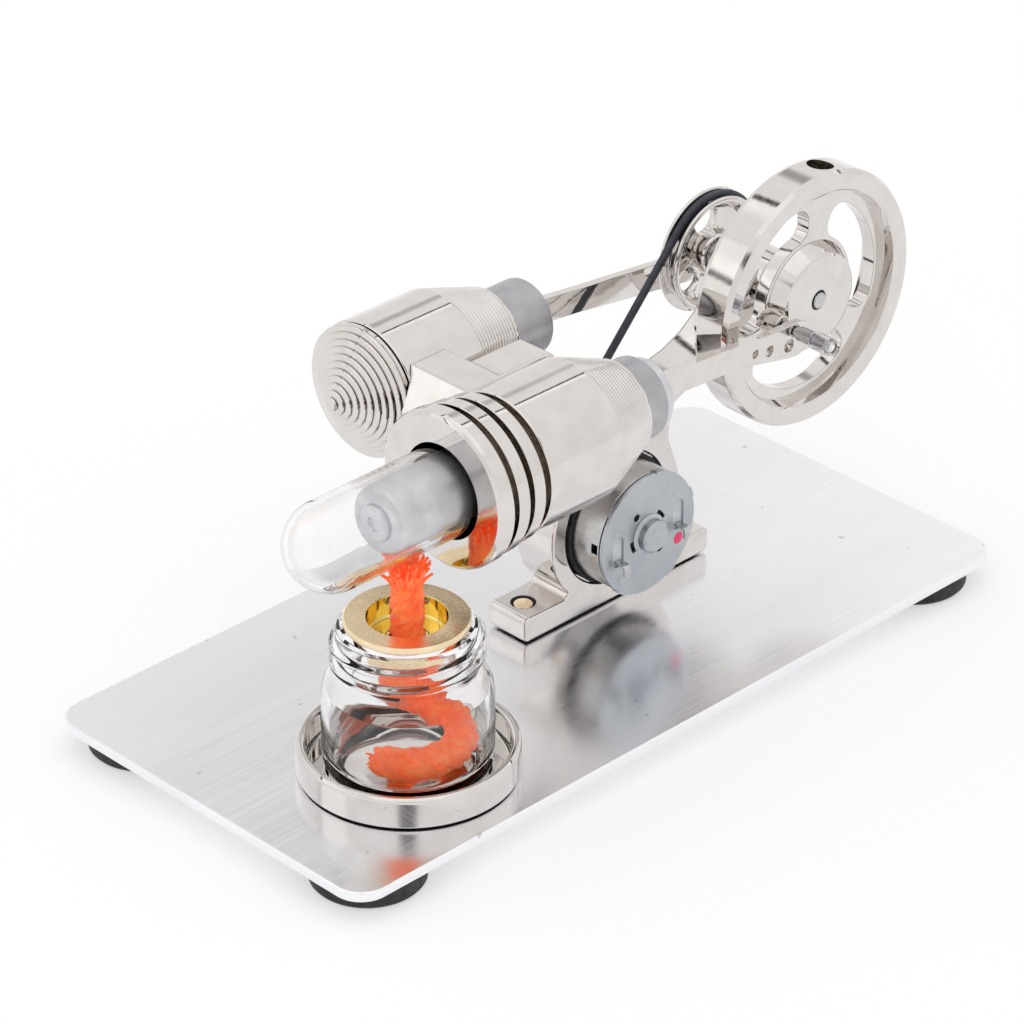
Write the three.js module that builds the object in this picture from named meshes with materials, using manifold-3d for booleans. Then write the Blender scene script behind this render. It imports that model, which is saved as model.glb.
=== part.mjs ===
// Desk-top Stirling engine model with a spirit burner and a belt-driven generator.
// Millimetres, +Z up. +Y runs from the burner end to the flywheel end, +X to the generator side.
// The origin is on the floor, at the middle of the whole model's bounding box.

import * as THREE from 'three';
import { mergeVertices } from 'three/addons/utils/BufferGeometryUtils.js';
import Module from 'manifold-3d';

const wasm = await Module();
wasm.setup();

// ---------------------------------------------------------------- driving dimensions

const GAP = 0.3;                 // air left between two pieces that touch on the real model
const RUN = 0.3;                 // radial clearance of a turning or sliding piece

const PLATE = { length: 160, width: 78.2, thick: 2, corner: 5.5, underside: 4 };
const PLATE_TOP = PLATE.underside + PLATE.thick;
const PAD = { radius: 10, x: 28.3, y: 68.2 };

const AXIS_Z = 56;               // height of both cylinders
const CRANK_Y = 57.8;
const CRANK_Z = 55.4;            // the crankshaft lies just below the cylinders' middle lines
const HOT_X = 15;
const COLD_X = -19.5;

const HEAD = { front: -38.2, back: -25.5, radius: 14.3, mouth: 8.65, floor: 10.8 };
Object.assign(HEAD, { grooves: 3, fin: 3.2, groove: 1.5, pitch: 4 });
const HOT = { back: 3, taperFrom: -8, radius: 13, endRadius: 9 };
const COLD = { front: -23, back: 6, taperFrom: -6, radius: 12.4, endRadius: 8.8 };
const NOSE = { tip: -31.6, rings: 10, radius: 12.2, tipRadius: 1 };

const TUBE = { tip: -71.2, open: -12, radius: 8, wall: 1.1 };
const HOT_LINER = { front: -11.4, back: 8.9, radius: 7.5, bore: 6.5 };
const COLD_LINER = { front: -17, back: 15.8, radius: 7.2, bore: 6.3 };
const HOT_PISTON = { front: -54, back: 11.2, radius: 6.2, bore: 5.2, floor: -2 };
const COLD_PISTON = { front: -8, back: 13, radius: 6, bore: 5, floor: 4 };

const HOT_THROW = 10.1;          // crank radius of the displacer side
const COLD_THROW = 5.6;          // crank radius of the power side
const HOT_PIN_ANGLE = -173.4;    // degrees from +Y towards +Z, with the model at rest
const COLD_PIN_ANGLE = HOT_PIN_ANGLE + 90;
const HOT_WRIST_Y = 8;
const COLD_WRIST_Y = 10.4;
const ROD_THICK = 1.6;
const PIN_R = 0.9;
const COLD_ROD_X = -20.8;        // middle of the cold rod's thickness

const WHEEL = { radius: 24.4, front: 12, back: 3.8, rim: 20.6, inner: 19.9, webFront: 9.5, webBack: 6.5 };
const WHEEL_WINDOW = { inside: 11.2, outside: 17.9, halfSpan: 49, firstAt: 20, corner: 2.9 };
const WHEEL_HUB = { base: 10.6, face: 8.4, front: 12.4, back: 4.1, backRadius: 5.5 };
const RIM_HOLE = { radius: 2.5, angle: 81 };
const SHAFT = { radius: 1.5, front: 12.7, back: -16.9 };
const PULLEY = { front: -12.5, back: -16.3, frontRadius: 11.2, backRadius: 12, groove: 10.3, flange: 0.8 };
const PULLEY_HOLE = { radius: 2.7, at: 6.6 };

const BELT = { width: 1.7, thick: 1.5 };
const GEN = { y: 17, z: 23, radius: 11.6, front: 9, back: -6, wall: 0.8 };
const GEN_PULLEY = { radius: 3.9, groove: 2.7, front: -12.6, back: -16.2 };
const GEN_SHAFT_R = 1;

const FRAME = { x0: -7.1, x1: 2.3 };
const BLOCK = { y0: -5.3, y1: 41.1, top: 11.3 };
const CLAMP_R = 16.2;
const ARM = { x0: -6.5, x1: 1.7 };
const BOSS = { radius: 5.6, front: 2.8, back: -8 };
const BEARING = { radius: 4, width: 3 };
const BRIDGE = { x0: -9.5, x1: 2.5, y0: -21.5, y1: -13.4, top: 64, bottom: 52 };
const SCREW = { radius: 2, head: 3.5, headHeight: 1.5, top: 11.1, inset: 3.5 };

const BURNER = { x: 16.1, y: -47.3 };
const TRAY = { radius: 19.2, inner: 17.5, top: 12.1, floor: 0.8 };
const JAR = { radius: 14.7, wall: 1.4, neck: 12.1, mouth: 9.2, top: 34.8, bead: 13.2, shoulder: 21.5 };
const HOLDER = { radius: 10.8, top: 36.3, cup: 6.9, cupDepth: 4, plug: 8.4, hole: 3.8 };
const WICK = { radius: 3.1, top: 46.6 };

// ---------------------------------------------------------------- materials

function finish(color, roughness, metalness) {
  return new THREE.MeshStandardMaterial({ color, roughness, metalness });
}

const nickel = finish(0xd9d4cc, 0.12, 1);
const brushedAluminium = finish(0xdfe0e2, 0.3, 1);
const turnedAluminium = finish(0xa9aaae, 0.45, 1);
const steel = finish(0xb4b4b6, 0.3, 1);
const galvanised = finish(0xb9c3ca, 0.4, 0.8);
const brass = finish(0xcdb878, 0.3, 1);
const rubber = finish(0x1c1c1e, 0.8, 0);
const beltRubber = finish(0x3b3d46, 0.7, 0);
const glass = finish(0xf2f6f7, 0.05, 0);
const cotton = finish(0xf8582a, 0.95, 0);
const magnet = finish(0x3a3634, 0.6, 0.2);
const clearPlastic = finish(0xc9c6d6, 0.25, 0);

// ---------------------------------------------------------------- solids

const ROUND = 24;
const SMALL = 16;
const RAD = Math.PI / 180;
const v2 = (x, y) => new THREE.Vector2(x, y);

/** A closed three.js geometry as a manifold solid. */
function solid(geometry) {
  const plain = geometry.index ? geometry.toNonIndexed() : geometry.clone();
  plain.deleteAttribute('normal');
  plain.deleteAttribute('uv');
  const merged = mergeVertices(plain, 1e-4);
  const index = merged.index.array;
  const triangles = [];
  for (let i = 0; i < index.length; i += 3) {
    const [a, b, c] = [index[i], index[i + 1], index[i + 2]];
    if (a !== b && b !== c && c !== a) triangles.push(a, b, c);
  }
  return new wasm.Manifold(new wasm.Mesh({
    numProp: 3,
    vertProperties: new Float32Array(merged.attributes.position.array),
    triVerts: new Uint32Array(triangles),
  }));
}

/** Radius-and-height points turned about the Y axis. A loop off the axis makes a ring. */
function turned(profile, segments = ROUND) {
  const points = profile.map(([r, y]) => v2(r, y));
  if (THREE.ShapeUtils.area(points) < 0) points.reverse();
  const onAxis = points.some((p) => p.x === 0);
  if (onAxis) {
    while (!(points[0].x === 0 && points[points.length - 1].x === 0)) points.push(points.shift());
    if (points[0].y > points[points.length - 1].y) points.reverse();
  } else {
    points.push(points[0].clone());
  }
  return solid(new THREE.LatheGeometry(points, segments));
}

const alongY = (body, x, z) => body.translate([x, 0, z]);
const alongX = (body, y, z) => body.rotate([0, 0, -90]).translate([0, y, z]);
const alongZ = (body, x, y) => body.rotate([90, 0, 0]).translate([x, y, 0]);

function rod(radius, from, to, segments = SMALL) {
  return turned([[0, from], [radius, from], [radius, to], [0, to]], segments);
}

function ring(inner, outer, from, to, segments = ROUND) {
  return turned([[inner, from], [outer, from], [outer, to], [inner, to]], segments);
}

/** A (y, z) outline pushed along X, from x0 to x1. */
function slab(outline, x0, x1, curveSegments = 8) {
  const depth = x1 - x0;
  const body = solid(new THREE.ExtrudeGeometry(outline, { depth, bevelEnabled: false, curveSegments }));
  return body.rotate([90, 0, 90]).translate([x0, 0, 0]);
}

function polygon(points) {
  return new THREE.Shape(points.map(([y, z]) => v2(y, z)));
}

function box(x0, x1, y0, y1, z0, z1) {
  const block = new THREE.BoxGeometry(x1 - x0, y1 - y0, z1 - z0);
  return solid(block.translate((x0 + x1) / 2, (y0 + y1) / 2, (z0 + z1) / 2));
}

function onCrank(radius, angle) {
  return { y: CRANK_Y + radius * Math.cos(angle * RAD), z: CRANK_Z + radius * Math.sin(angle * RAD) };
}

// ---------------------------------------------------------------- the scene graph

const engine = new THREE.Group();
engine.position.y = (PLATE.length / 2 - (CRANK_Y + WHEEL.radius)) / 2;   // centres the bounding box

function add(name, body, material) {
  const { vertProperties, triVerts, numProp } = body.getMesh();
  const geometry = new THREE.BufferGeometry();
  const positions = new Float32Array((vertProperties.length / numProp) * 3);
  for (let i = 0; i < positions.length / 3; i += 1) {
    positions.set(vertProperties.subarray(i * numProp, i * numProp + 3), i * 3);
  }
  geometry.setAttribute('position', new THREE.BufferAttribute(positions, 3));
  geometry.setIndex(new THREE.BufferAttribute(new Uint32Array(triVerts), 1));
  geometry.computeVertexNormals();
  const mesh = new THREE.Mesh(geometry, material);
  mesh.name = name;
  engine.add(mesh);
}

// ---------------------------------------------------------------- base

const screwPlaces = [BLOCK.y0 + SCREW.inset, BLOCK.y1 - SCREW.inset];
const screwX = (FRAME.x0 + FRAME.x1) / 2;

function roundedRectangle(width, length, corner) {
  const [w, l] = [width / 2, length / 2];
  const shape = new THREE.Shape();
  shape.moveTo(w - corner, -l);
  shape.absarc(w - corner, -l + corner, corner, -Math.PI / 2, 0);
  shape.absarc(w - corner, l - corner, corner, 0, Math.PI / 2);
  shape.absarc(-w + corner, l - corner, corner, Math.PI / 2, Math.PI);
  shape.absarc(-w + corner, -l + corner, corner, Math.PI, Math.PI * 1.5);
  return shape;
}

const sheet = roundedRectangle(PLATE.width, PLATE.length, PLATE.corner);
for (const y of screwPlaces) {
  const hole = new THREE.Path();
  hole.absarc(screwX, y, SCREW.radius + GAP, 0, Math.PI * 2, true);
  sheet.holes.push(hole);
}
const sheetDepth = { depth: PLATE.thick, bevelEnabled: false, curveSegments: 8 };
const plate = solid(new THREE.ExtrudeGeometry(sheet, sheetDepth));
add('base_plate', plate.translate([0, 0, PLATE.underside]), brushedAluminium);

const PAD_NAMES = [['foot_burner_left', -1, -1], ['foot_burner_right', 1, -1],
  ['foot_flywheel_left', -1, 1], ['foot_flywheel_right', 1, 1]];
for (const [name, sx, sy] of PAD_NAMES) {
  const [r, h] = [PAD.radius, PLATE.underside - GAP];
  const pad = turned([[0, 0], [r - 0.6, 0], [r, 0.6], [r, h], [0, h]]);
  add(name, alongZ(pad, sx * PAD.x, sy * PAD.y), rubber);
}

// ---------------------------------------------------------------- burner

const trayBase = PLATE_TOP + GAP;
const trayFloor = trayBase + TRAY.floor;
const tray = turned([[0, trayBase], [TRAY.radius, trayBase], [TRAY.radius, TRAY.top - 0.5],
  [TRAY.radius - 0.5, TRAY.top], [TRAY.inner + 0.4, TRAY.top], [TRAY.inner, TRAY.top - 0.4],
  [TRAY.inner, trayFloor], [0, trayFloor]]);
add('burner_tray', alongZ(tray, BURNER.x, BURNER.y), nickel);

const jarBase = trayFloor + GAP;
const jarInside = JAR.radius - JAR.wall;
const jar = turned([[0, jarBase], [JAR.radius - 1.4, jarBase], [JAR.radius - 0.2, jarBase + 1.6],
  [JAR.radius, JAR.shoulder], [JAR.radius - 0.4, JAR.shoulder + 2.6], [JAR.neck + 0.4, JAR.shoulder + 5.2],
  [JAR.neck, 27.6], [JAR.bead - 0.3, 28.2], [JAR.bead - 0.3, 29.4], [JAR.neck, 30.2], [JAR.neck, 30.9],
  [JAR.bead, 31.6], [JAR.bead, 32.8], [JAR.neck, 33.8], [JAR.neck - 0.6, JAR.top], [JAR.mouth, JAR.top],
  [JAR.mouth, JAR.shoulder + 5], [jarInside - 0.5, JAR.shoulder + 1.2], [jarInside, JAR.shoulder - 1.5],
  [jarInside, jarBase + 2.8], [jarInside - 1.2, jarBase + JAR.wall], [0, jarBase + JAR.wall]]);
add('burner_jar', alongZ(jar, BURNER.x, BURNER.y), glass);

const flange = JAR.top + GAP;
const cupFloor = HOLDER.top - HOLDER.cupDepth;
const plugEnd = cupFloor - 1.2;
const holder = turned([[HOLDER.hole, plugEnd], [HOLDER.plug, plugEnd], [HOLDER.plug, flange],
  [HOLDER.radius, flange], [HOLDER.radius, HOLDER.top - 0.3], [HOLDER.radius - 0.3, HOLDER.top],
  [HOLDER.cup, HOLDER.top], [HOLDER.cup, cupFloor], [HOLDER.hole, cupFloor]]);
add('wick_holder', alongZ(holder, BURNER.x, BURNER.y), brass);

// The wick: up through the holder's hole, and curled round the jar's floor below it.
const WICK_ROUTE = [[0, 0, 46.6], [0, 0, 42.5], [0, 0, 38.5], [0, 0, 34.5], [0, 0, 31.2], [-1.1, -0.1, 28],
  [-3, 0.4, 25], [-5.2, 1.8, 22.3], [-6.6, 4, 19.8], [-6.2, 6.6, 17.5], [-3.4, 8.6, 15.6], [0.4, 9.1, 14.3],
  [4.2, 8, 13.5], [7.2, 5.4, 13.1], [8.8, 2, 13], [9, -1.7, 13], [7.6, -5.2, 13], [5, -7.7, 13],
  [1.6, -8.9, 13]];
const wickPoints = WICK_ROUTE.map(([x, y, z]) => new THREE.Vector3(BURNER.x + x, BURNER.y + y, z));
const wickCurve = new THREE.CatmullRomCurve3(wickPoints, false, 'centripetal');
const wickSection = new THREE.Shape();
wickSection.absarc(0, 0, WICK.radius, 0, Math.PI * 2);
const wickPath = { extrudePath: wickCurve, steps: 26, curveSegments: 5, bevelEnabled: false };
add('wick', solid(new THREE.ExtrudeGeometry(wickSection, wickPath)), cotton);

// ---------------------------------------------------------------- cylinders

/** The outside of a cylinder body that narrows towards its open end, grown by `extra`. */
function barrel(body, front, extra = 0) {
  const end = body.back + extra;
  const r = body.radius + extra;
  return turned([[0, front - extra], [r, front - extra], [r, body.taperFrom], [body.endRadius + extra, end],
    [0, end]]);
}

const hotFront = HEAD.back + GAP;
const hotLinerSeat = rod(HOT_LINER.radius + GAP, HOT_LINER.front - GAP, HOT.back + 1, ROUND);
const tubeSeat = rod(TUBE.radius + GAP, HEAD.front + HEAD.fin, HOT_LINER.front - GAP, ROUND);
const hotBarrel = barrel(HOT, hotFront).subtract(hotLinerSeat).subtract(tubeSeat);
add('hot_cylinder', alongY(hotBarrel, HOT_X, AXIS_Z), nickel);

// Fins and grooves take turns; each fin is a little smaller than the one in front of it.
const headProfile = [[0, HEAD.front], [HEAD.radius - 0.7, HEAD.front], [HEAD.radius, HEAD.front + 0.7]];
for (let i = 0; i < HEAD.grooves; i += 1) {
  const start = HEAD.front + HEAD.fin + i * HEAD.pitch;
  const end = start + HEAD.groove;
  headProfile.push([HEAD.radius - 0.4 * i, start], [HEAD.floor, start]);
  headProfile.push([HEAD.floor, Math.min(end, HEAD.back)]);
  if (end < HEAD.back) headProfile.push([HEAD.radius - 0.4 * (i + 1), end]);
}
headProfile.push([0, HEAD.back]);
const head = turned(headProfile).subtract(tubeSeat)
  .subtract(rod(HEAD.mouth, HEAD.front - 1, HEAD.front + HEAD.fin, ROUND));
add('finned_head', alongY(head, HOT_X, AXIS_Z), nickel);

const coldSeat = rod(COLD_LINER.radius + GAP, COLD_LINER.front - GAP, COLD.back + 1, ROUND);
add('cold_cylinder', alongY(barrel(COLD, COLD.front).subtract(coldSeat), COLD_X, AXIS_Z), nickel);

const noseBack = COLD.front - GAP;
const noseStep = (noseBack - 1 - NOSE.tip) / NOSE.rings;
const noseProfile = [[0, NOSE.tip]];
for (let i = 0; i < NOSE.rings; i += 1) {
  const r = NOSE.tipRadius + (NOSE.radius - NOSE.tipRadius) * (i / (NOSE.rings - 1));
  noseProfile.push([r, NOSE.tip + i * noseStep], [r, NOSE.tip + (i + 1) * noseStep]);
}
noseProfile.push([NOSE.radius, noseBack], [0, noseBack]);
add('cold_end_cap', alongY(turned(noseProfile), COLD_X, AXIS_Z), nickel);

const inner = TUBE.radius - TUBE.wall;
const domeBase = TUBE.tip + TUBE.radius;
const dome = (r, n, start) => Array.from({ length: n + 1 }, (_, i) => {
  const a = (start ? i : n - i) / n * 90 * RAD;
  return [i === (start ? 0 : n) ? 0 : r * Math.sin(a), domeBase - r * Math.cos(a)];
});
const tube = turned([...dome(TUBE.radius, 5, true), [TUBE.radius, TUBE.open], [inner, TUBE.open],
  ...dome(inner, 5, false)]);
add('glass_tube', alongY(tube, HOT_X, AXIS_Z), glass);

for (const [name, liner, x] of [['hot_liner', HOT_LINER, HOT_X], ['cold_liner', COLD_LINER, COLD_X]]) {
  const sleeve = turned([[liner.bore, liner.front], [liner.radius, liner.front],
    [liner.radius, liner.back - 0.7], [liner.radius - 0.7, liner.back], [liner.bore, liner.back]]);
  add(name, alongY(sleeve, x, AXIS_Z), turnedAluminium);
}

// ---------------------------------------------------------------- frame

const hotKeepOut = alongY(barrel(HOT, hotFront, GAP), HOT_X, AXIS_Z);
const coldKeepOut = alongY(barrel(COLD, NOSE.tip, GAP), COLD_X, AXIS_Z);

const screwHoles = screwPlaces.map((y) => alongZ(rod(SCREW.radius + GAP, 0, 20), screwX, y));
const neck = polygon([[-6, 42.7], [1.5, 28], [31.5, 28], [30, 34], [31, 39.4], [24, 42.7]]);
let pedestal = box(FRAME.x0, FRAME.x1, BLOCK.y0, BLOCK.y1, PLATE_TOP + GAP, BLOCK.top)
  .add(alongX(rod(CLAMP_R, FRAME.x0, FRAME.x1, 40), GEN.y, GEN.z))
  .add(slab(neck, FRAME.x0, FRAME.x1));
pedestal = pedestal.subtract(alongX(rod(GEN.radius + 1.05, -20, 20, 40), GEN.y, GEN.z));
const underFoot = box(-20, 20, -40, 60, -5, PLATE_TOP + GAP);
pedestal = pedestal.subtract(underFoot).subtract(screwHoles[0]).subtract(screwHoles[1]);
add('engine_pedestal', pedestal, nickel);

const armOutline = polygon([[-13, 43], [24.2, 43], [31.3, 39.7], [38.6, 42.6], [54.5, 50.6], [58, 56],
  [54.8, 60.6], [45.2, 51.4], [37.3, 46.4], [16, 46], [3, 49], [2, 62], [-13, 62]]);
const crankBoss = alongX(rod(BOSS.radius, BOSS.back, BOSS.front, ROUND), CRANK_Y, CRANK_Z);
let arm = slab(armOutline, ARM.x0, ARM.x1).add(crankBoss);
arm = arm.subtract(hotKeepOut).subtract(coldKeepOut)
  .subtract(alongX(rod(SHAFT.radius + 1, -20, 20), CRANK_Y, CRANK_Z));
const bearingInset = BEARING.width + GAP;
const bearingPockets = [
  [BOSS.back - 1, BOSS.back + bearingInset],
  [BOSS.front - bearingInset, BOSS.front + 1],
];
for (const [from, to] of bearingPockets) {
  arm = arm.subtract(alongX(rod(BEARING.radius + GAP, from, to, ROUND), CRANK_Y, CRANK_Z));
}
add('bearing_arm', arm, nickel);

const bridgeSide = polygon([[BRIDGE.y0 - 5, BRIDGE.bottom], [BRIDGE.y1, BRIDGE.bottom],
  [BRIDGE.y1, BRIDGE.top], [BRIDGE.y0, BRIDGE.top], [BRIDGE.y0 - 5, BRIDGE.top - 6.5]]);
const bridge = slab(bridgeSide, BRIDGE.x0, BRIDGE.x1).subtract(hotKeepOut).subtract(coldKeepOut)
  .subtract(alongY(rod(HEAD.radius + GAP, HEAD.front, HEAD.back + GAP + 0.1, ROUND), HOT_X, AXIS_Z));
add('cylinder_bridge', bridge, nickel);

const BEARING_PLACES = [['bearing_pulley_side', BOSS.back],
  ['bearing_flywheel_side', BOSS.front - BEARING.width]];
for (const [name, x] of BEARING_PLACES) {
  const race = ring(SHAFT.radius + RUN, BEARING.radius, x, x + BEARING.width, 24);
  add(name, alongX(race, CRANK_Y, CRANK_Z), steel);
}

screwPlaces.forEach((y, i) => {
  const headTop = PLATE.underside - GAP;
  const screw = turned([[0, headTop - SCREW.headHeight], [SCREW.head, headTop - SCREW.headHeight],
    [SCREW.head, headTop], [SCREW.radius, headTop], [SCREW.radius, SCREW.top], [0, SCREW.top]], 20);
  add(['mount_screw_burner_end', 'mount_screw_flywheel_end'][i], alongZ(screw, screwX, y), brass);
});

// ---------------------------------------------------------------- pistons and rods

function wristHole(y) {
  return rod(PIN_R + RUN, -20, 20).rotate([0, 0, -90]).translate([0, y, 0]);
}

function piston(p, wristY, frontProfile) {
  const body = turned([[0, p.front], ...frontProfile, [p.radius, p.back], [p.bore, p.back],
    [p.bore, p.floor], [0, p.floor]]);
  return body.subtract(wristHole(wristY));
}

const hotCrown = [[3.4, HOT_PISTON.front], [3.4, HOT_PISTON.front + 0.7], [5.4, HOT_PISTON.front + 0.7],
  [HOT_PISTON.radius, HOT_PISTON.front + 1.5]];
add('hot_piston', alongY(piston(HOT_PISTON, HOT_WRIST_Y, hotCrown), HOT_X, AXIS_Z), steel);
const coldCrown = [[COLD_PISTON.radius, COLD_PISTON.front]];
add('cold_piston', alongY(piston(COLD_PISTON, COLD_WRIST_Y, coldCrown), COLD_X, AXIS_Z), steel);

const wristPin = (half) => rod(PIN_R, -half, half);
add('hot_wrist_pin', alongX(wristPin(HOT_PISTON.radius - GAP), HOT_WRIST_Y, AXIS_Z)
  .translate([HOT_X, 0, 0]), steel);
add('cold_wrist_pin', alongX(wristPin(COLD_PISTON.radius - GAP), COLD_WRIST_Y, AXIS_Z)
  .translate([COLD_X, 0, 0]), steel);

const hotPin = onCrank(HOT_THROW, HOT_PIN_ANGLE);
const coldPin = onCrank(COLD_THROW, COLD_PIN_ANGLE);

function boredRod(outline, x, holes) {
  let plateBody = slab(outline, x - ROD_THICK / 2, x + ROD_THICK / 2);
  for (const [y, z, r] of holes) plateBody = plateBody.subtract(alongX(rod(r, -60, 60), y, z));
  return plateBody;
}

const hotRodOutline = new THREE.Shape();
hotRodOutline.moveTo(HOT_WRIST_Y, AXIS_Z + 2.4);
hotRodOutline.lineTo(HOT_WRIST_Y + 21, AXIS_Z + 1.1);
hotRodOutline.lineTo(hotPin.y - 6, hotPin.z + 1.7);
hotRodOutline.lineTo(hotPin.y + 2.2, hotPin.z + 1.4);
hotRodOutline.quadraticCurveTo(hotPin.y + 4.8, hotPin.z - 0.6, hotPin.y + 4, hotPin.z - 3.4);
hotRodOutline.quadraticCurveTo(hotPin.y + 2.6, hotPin.z - 5.8, hotPin.y - 1, hotPin.z - 5);
hotRodOutline.lineTo(hotPin.y - 14, hotPin.z - 2.2);
hotRodOutline.lineTo(HOT_WRIST_Y, AXIS_Z - 2.4);
hotRodOutline.absarc(HOT_WRIST_Y, AXIS_Z, 2.4, -Math.PI / 2, Math.PI / 2, true);
const hotRodHoles = [[HOT_WRIST_Y, AXIS_Z, PIN_R + RUN], [hotPin.y, hotPin.z, PIN_R + RUN],
  [hotPin.y - 1.5, hotPin.z - 2.4, 1], [hotPin.y - 6.6, hotPin.z - 1.6, 0.9],
  [hotPin.y - 10.3, hotPin.z - 0.8, 0.7]];
add('hot_connecting_rod', boredRod(hotRodOutline, HOT_X, hotRodHoles), nickel);

const coldRodOutline = new THREE.Shape();
coldRodOutline.moveTo(COLD_WRIST_Y, AXIS_Z + 2.5);
coldRodOutline.lineTo(COLD_WRIST_Y + 20, AXIS_Z - 0.1);
coldRodOutline.lineTo(coldPin.y, coldPin.z + 2.9);
coldRodOutline.absarc(coldPin.y, coldPin.z, 2.9, Math.PI / 2, -Math.PI / 2, true);
coldRodOutline.lineTo(COLD_WRIST_Y + 20, AXIS_Z - 5);
coldRodOutline.lineTo(COLD_WRIST_Y, AXIS_Z - 2.5);
coldRodOutline.absarc(COLD_WRIST_Y, AXIS_Z, 2.5, -Math.PI / 2, Math.PI / 2, true);
const coldRodHoles = [[COLD_WRIST_Y, AXIS_Z, PIN_R + RUN], [coldPin.y, coldPin.z, PIN_R + RUN],
  [coldPin.y - 5.4, coldPin.z + 0.6, 0.9], [coldPin.y - 9, coldPin.z + 1.1, 0.9]];
add('cold_connecting_rod', boredRod(coldRodOutline, COLD_ROD_X, coldRodHoles), nickel);

// Each crank pin turns with its rod's end here, and stops just short of the wheel it is pressed into.
const hotPinFrom = SHAFT.front + GAP;
const hotPinBody = turned([[0, hotPinFrom], [PIN_R, hotPinFrom], [PIN_R, 23.4], [0, 23.4]]);
add('hot_crank_pin', alongX(hotPinBody, hotPin.y, hotPin.z), steel);
const hotCollar = turned([[PIN_R + GAP, 20.3], [1.7, 20.3], [1.7, 24.2], [0, 24.2], [0, 23.4 + GAP],
  [PIN_R + GAP, 23.4 + GAP]]);
add('hot_pin_collar', alongX(hotCollar, hotPin.y, hotPin.z), clearPlastic);

const coldPinFrom = SHAFT.back - GAP;
const coldPinEnd = coldPinFrom - 7.2;
add('cold_crank_pin', alongX(rod(PIN_R, coldPinEnd, coldPinFrom), coldPin.y, coldPin.z), steel);
const coldCollar = turned([[PIN_R + GAP, coldPinEnd + 2.3], [1.7, coldPinEnd + 2.3], [1.7, coldPinEnd - 1],
  [0, coldPinEnd - 1], [0, coldPinEnd - GAP], [PIN_R + GAP, coldPinEnd - GAP]]);
add('cold_pin_collar', alongX(coldCollar, coldPin.y, coldPin.z), clearPlastic);

// ---------------------------------------------------------------- crankshaft, flywheel and pulley

add('crankshaft', alongX(rod(SHAFT.radius, SHAFT.back, SHAFT.front), CRANK_Y, CRANK_Z), steel);

/** A curved slot between two radii, with rounded corners, about the crank axis. */
function wheelWindow(middle) {
  const { inside, outside, halfSpan, corner } = WHEEL_WINDOW;
  const [a0, a1] = [(middle - halfSpan) * RAD, (middle + halfSpan) * RAD];
  const at = (r, a) => [CRANK_Y + r * Math.cos(a), CRANK_Z + r * Math.sin(a)];
  const [di, dq] = [corner / inside, corner / outside];
  const shape = new THREE.Shape();
  shape.moveTo(...at(outside, a0 + dq));
  shape.absarc(CRANK_Y, CRANK_Z, outside, a0 + dq, a1 - dq);
  shape.quadraticCurveTo(...at(outside, a1), ...at(outside - corner, a1));
  shape.lineTo(...at(inside + corner, a1));
  shape.quadraticCurveTo(...at(inside, a1), ...at(inside, a1 - di));
  shape.absarc(CRANK_Y, CRANK_Z, inside, a1 - di, a0 + di, true);
  shape.quadraticCurveTo(...at(inside, a0), ...at(inside + corner, a0));
  shape.lineTo(...at(outside - corner, a0));
  shape.quadraticCurveTo(...at(outside, a0), ...at(outside, a0 + dq));
  return slab(shape, -5, 20, 5);
}

const wheelBlank = turned([[SHAFT.radius + GAP, WHEEL_HUB.back], [WHEEL_HUB.backRadius, WHEEL_HUB.back],
  [WHEEL_HUB.backRadius + 1.5, WHEEL.webBack], [WHEEL.inner, WHEEL.webBack], [WHEEL.rim, WHEEL.back],
  [WHEEL.radius - 0.5, WHEEL.back], [WHEEL.radius, WHEEL.back + 0.5], [WHEEL.radius, WHEEL.front - 0.5],
  [WHEEL.radius - 0.5, WHEEL.front], [WHEEL.rim, WHEEL.front], [WHEEL.inner, WHEEL.webFront],
  [WHEEL_HUB.base, WHEEL.webFront], [WHEEL_HUB.face, WHEEL_HUB.front],
  [SHAFT.radius + GAP, WHEEL_HUB.front]], 40);
let wheel = alongX(wheelBlank, CRANK_Y, CRANK_Z);
for (let i = 0; i < 3; i += 1) wheel = wheel.subtract(wheelWindow(WHEEL_WINDOW.firstAt + 120 * i));
wheel = wheel.add(alongX(rod(2.3, WHEEL.webBack, SHAFT.front, 20), hotPin.y, hotPin.z));
const rimHole = rod(RIM_HOLE.radius, WHEEL.inner - 1, WHEEL.radius + 2, 20)
  .rotate([RIM_HOLE.angle, 0, 0]).translate([(WHEEL.front + WHEEL.back) / 2, CRANK_Y, CRANK_Z]);
add('flywheel', wheel.subtract(rimHole), nickel);

let pulley = alongX(turned([[SHAFT.radius + GAP, PULLEY.back], [PULLEY.backRadius, PULLEY.back],
  [PULLEY.backRadius, PULLEY.back + PULLEY.flange], [PULLEY.groove, PULLEY.back + PULLEY.flange + 0.3],
  [PULLEY.groove, PULLEY.front - PULLEY.flange - 0.3], [PULLEY.frontRadius, PULLEY.front - PULLEY.flange],
  [PULLEY.frontRadius, PULLEY.front], [9.6, PULLEY.front], [9, PULLEY.front - 2.2], [4.4, PULLEY.front - 2.2],
  [3.8, PULLEY.front], [SHAFT.radius + GAP, PULLEY.front]], 32), CRANK_Y, CRANK_Z);
for (let i = 0; i < 3; i += 1) {
  const spot = onCrank(PULLEY_HOLE.at, 100 + 120 * i);
  pulley = pulley.subtract(alongX(rod(PULLEY_HOLE.radius, -30, 0, 12), spot.y, spot.z));
}
add('crank_pulley', pulley, nickel);

// ---------------------------------------------------------------- generator and belt

const beltX = (PULLEY.front + PULLEY.back) / 2;

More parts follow.
